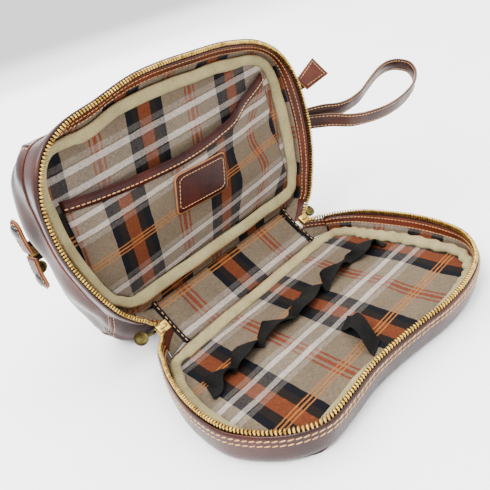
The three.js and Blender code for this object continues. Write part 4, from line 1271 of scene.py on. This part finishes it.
tab_edge = sheet(
    "end_tab_edge", "zip_tail", RAW_EDGE, tab_points(0.0, 1.0), plain_cloth(16, 12, 27, 20), thick=2.0
)
tab_front = sheet(
    "end_tab_leather", "zip_tail", RED, tab_points(-0.7, 1.5), plain_cloth(16, 12, 27, 20), thick=3.0
)
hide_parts("zip_end_tab")
inner = tab_points(-3.0, 1.55)
border = np.vstack([inner[:, 0], inner[-1, 1:], inner[-2::-1, -1]])
for word, shift, face in (("front", 0.0, 1), ("back", -3.1, -1)):
    stitches(
            f"end_tab_stitches_{word}", "zip_tail", border + tab_normal * shift, tab_normal * face, 3.2, 2.5,
            0.65
        )

BAR = (139.2, -14.0, -11.0)
strap_knots = [
    (BAR[0] - 3.4, BAR[1], BAR[2]), (BAR[0], BAR[1] + 0.4, BAR[2] - 3.5),
    (BAR[0] + 8, BAR[1] + 1, BAR[2] - 2.4), (174, -15, 2), (192, -19, 10), (222, -19, 11), (252, -15, 5),
    (284, -11, -1), (306, -11, -2), (320, -14, 2), (325, -19, 11), (318, -25, 21), (300, -30, 31),
    (278, -33, 37), (252, -35, 40), (226, -35, 39), (204, -33, 34), (184, -29, 26), (170, -23, 13),
    (BAR[0] + 8, BAR[1] - 3, BAR[2] + 6), (BAR[0], BAR[1] - 0.4, BAR[2] + 3.5),
]
STRAP_STEPS = 259
STRAP_HALF_WIDE = 6.3
STRAP_HALF_THICK = 2.0
STRAP_STITCHES_AT = 4.5
strap_line = smooth_line([from_main(*k) for k in strap_knots], STRAP_STEPS + 1, True)[:-1]
share = np.arange(STRAP_STEPS) / STRAP_STEPS
lean = np.clip((np.minimum(share, 1 - share) - 0.08) / 0.1, 0, 1)
strap_across = unit(np.stack([0 * share, -0.45 * lean, np.ones(STRAP_STEPS)], 1))
forward = unit(np.roll(strap_line, -2, 0) - np.roll(strap_line, 2, 0))
strap_up = unit(np.cross(forward, strap_across))
section = [
    (-1, -0.4), (-1, 0.3), (-0.93, 0.5), (0, 0.56), (0.93, 0.5), (1, 0.3), (1, -0.4), (0.93, -0.5),
    (0, -0.56), (-0.93, -0.5)
]
strap_rows = []
for w, h in section:
    strap_rows.append(strap_line + strap_across * w * STRAP_HALF_WIDE + strap_up * h * STRAP_HALF_THICK)
strap_points = np.stack(strap_rows, 1)
strap = sheet(
    "strap_loop", "wrist_strap", STRAP, strap_points, plain_cloth(260, 11, 420, 30), loop=True, tube=True
)
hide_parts("wrist_strap")
closed_line = np.vstack([strap_line, strap_line[:1]])
closed_up = np.vstack([strap_up, strap_up[:1]])
closed_across = np.vstack([strap_across, strap_across[:1]])
for word, side in (("top", 1), ("bottom", -1)):
    for face, way in (("a", 1), ("b", -1)):
        line = closed_line + closed_across * STRAP_STITCHES_AT * side + closed_up * 1.05 * way
        stitches(
                f"strap_stitches_{word}_{face}", "wrist_strap", line[8:-8], (closed_up * way)[8:-8], 3.6, 2.8,
                0.62
            )
for word, side in (("top", 1), ("bottom", -1)):
    bead = closed_line[:-1] + closed_across[:-1] * 6.2 * side
    rows = []
    for a in np.linspace(0, 2 * math.pi, 6, endpoint=False):
        rows.append(bead + closed_up[:-1] * 0.95 * math.sin(a) + closed_across[:-1] * 0.55 * math.cos(a))
    sheet(
            f"strap_edge_{word}", "wrist_strap", STRAP_EDGE, np.stack(rows, 1), plain_cloth(260, 7, 420, 5),
            loop=True, tube=True
        )

# ---- What stays of the frame, the floor and the light --------------------------------------------------
kept = {"strap_ring": OLD_BRASS, "ring_holder": BROWN}
for node, material in kept.items():
    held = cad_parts[node]
    held.data.materials.clear()
    held.data.materials.append(material)

bpy.ops.object.select_all(action="DESELECT")
bpy.ops.mesh.primitive_plane_add(size=40, location=(0, 0, -0.0004))
floor = bpy.context.object
floor.name = "floor"
paper = Recipe("white_paper")
paper.finish(
    paper.ramp(paper.noise(paper.place(), 3, 2), [(0.3, "fbfbfb"), (0.7, "fefefe")]), Roughness=0.7,
    Specular_IOR_Level=0.2
)
floor.data.materials.append(paper.material)

world = bpy.data.worlds.new("studio")
bpy.context.scene.world = world
world.use_nodes = True
world.node_tree.nodes["Background"].inputs[0].default_value = (1, 1, 1, 1)
world.node_tree.nodes["Background"].inputs[1].default_value = 1.5


def soft_light(name, at, size, power, aim=(0, 0.05, 0.05)):
    data = bpy.data.lights.new(name, "AREA")
    data.size = size
    data.energy = power
    lamp = bpy.data.objects.new(name, data)
    lamp.location = at
    lamp.rotation_euler = (Vector(aim) - Vector(at)).to_track_quat("-Z", "Y").to_euler()
    bpy.context.collection.objects.link(lamp)


soft_light("overhead_light", (0.1, 0.3, 5.0), 11.0, 1550, (0.1, 0.3, 0))
soft_light("key_light", (-0.9, -0.2, 1.2), 0.5, 22)
soft_light("back_light", (0.9, 2.6, 1.8), 1.6, 80)

bpy.context.view_layer.update()
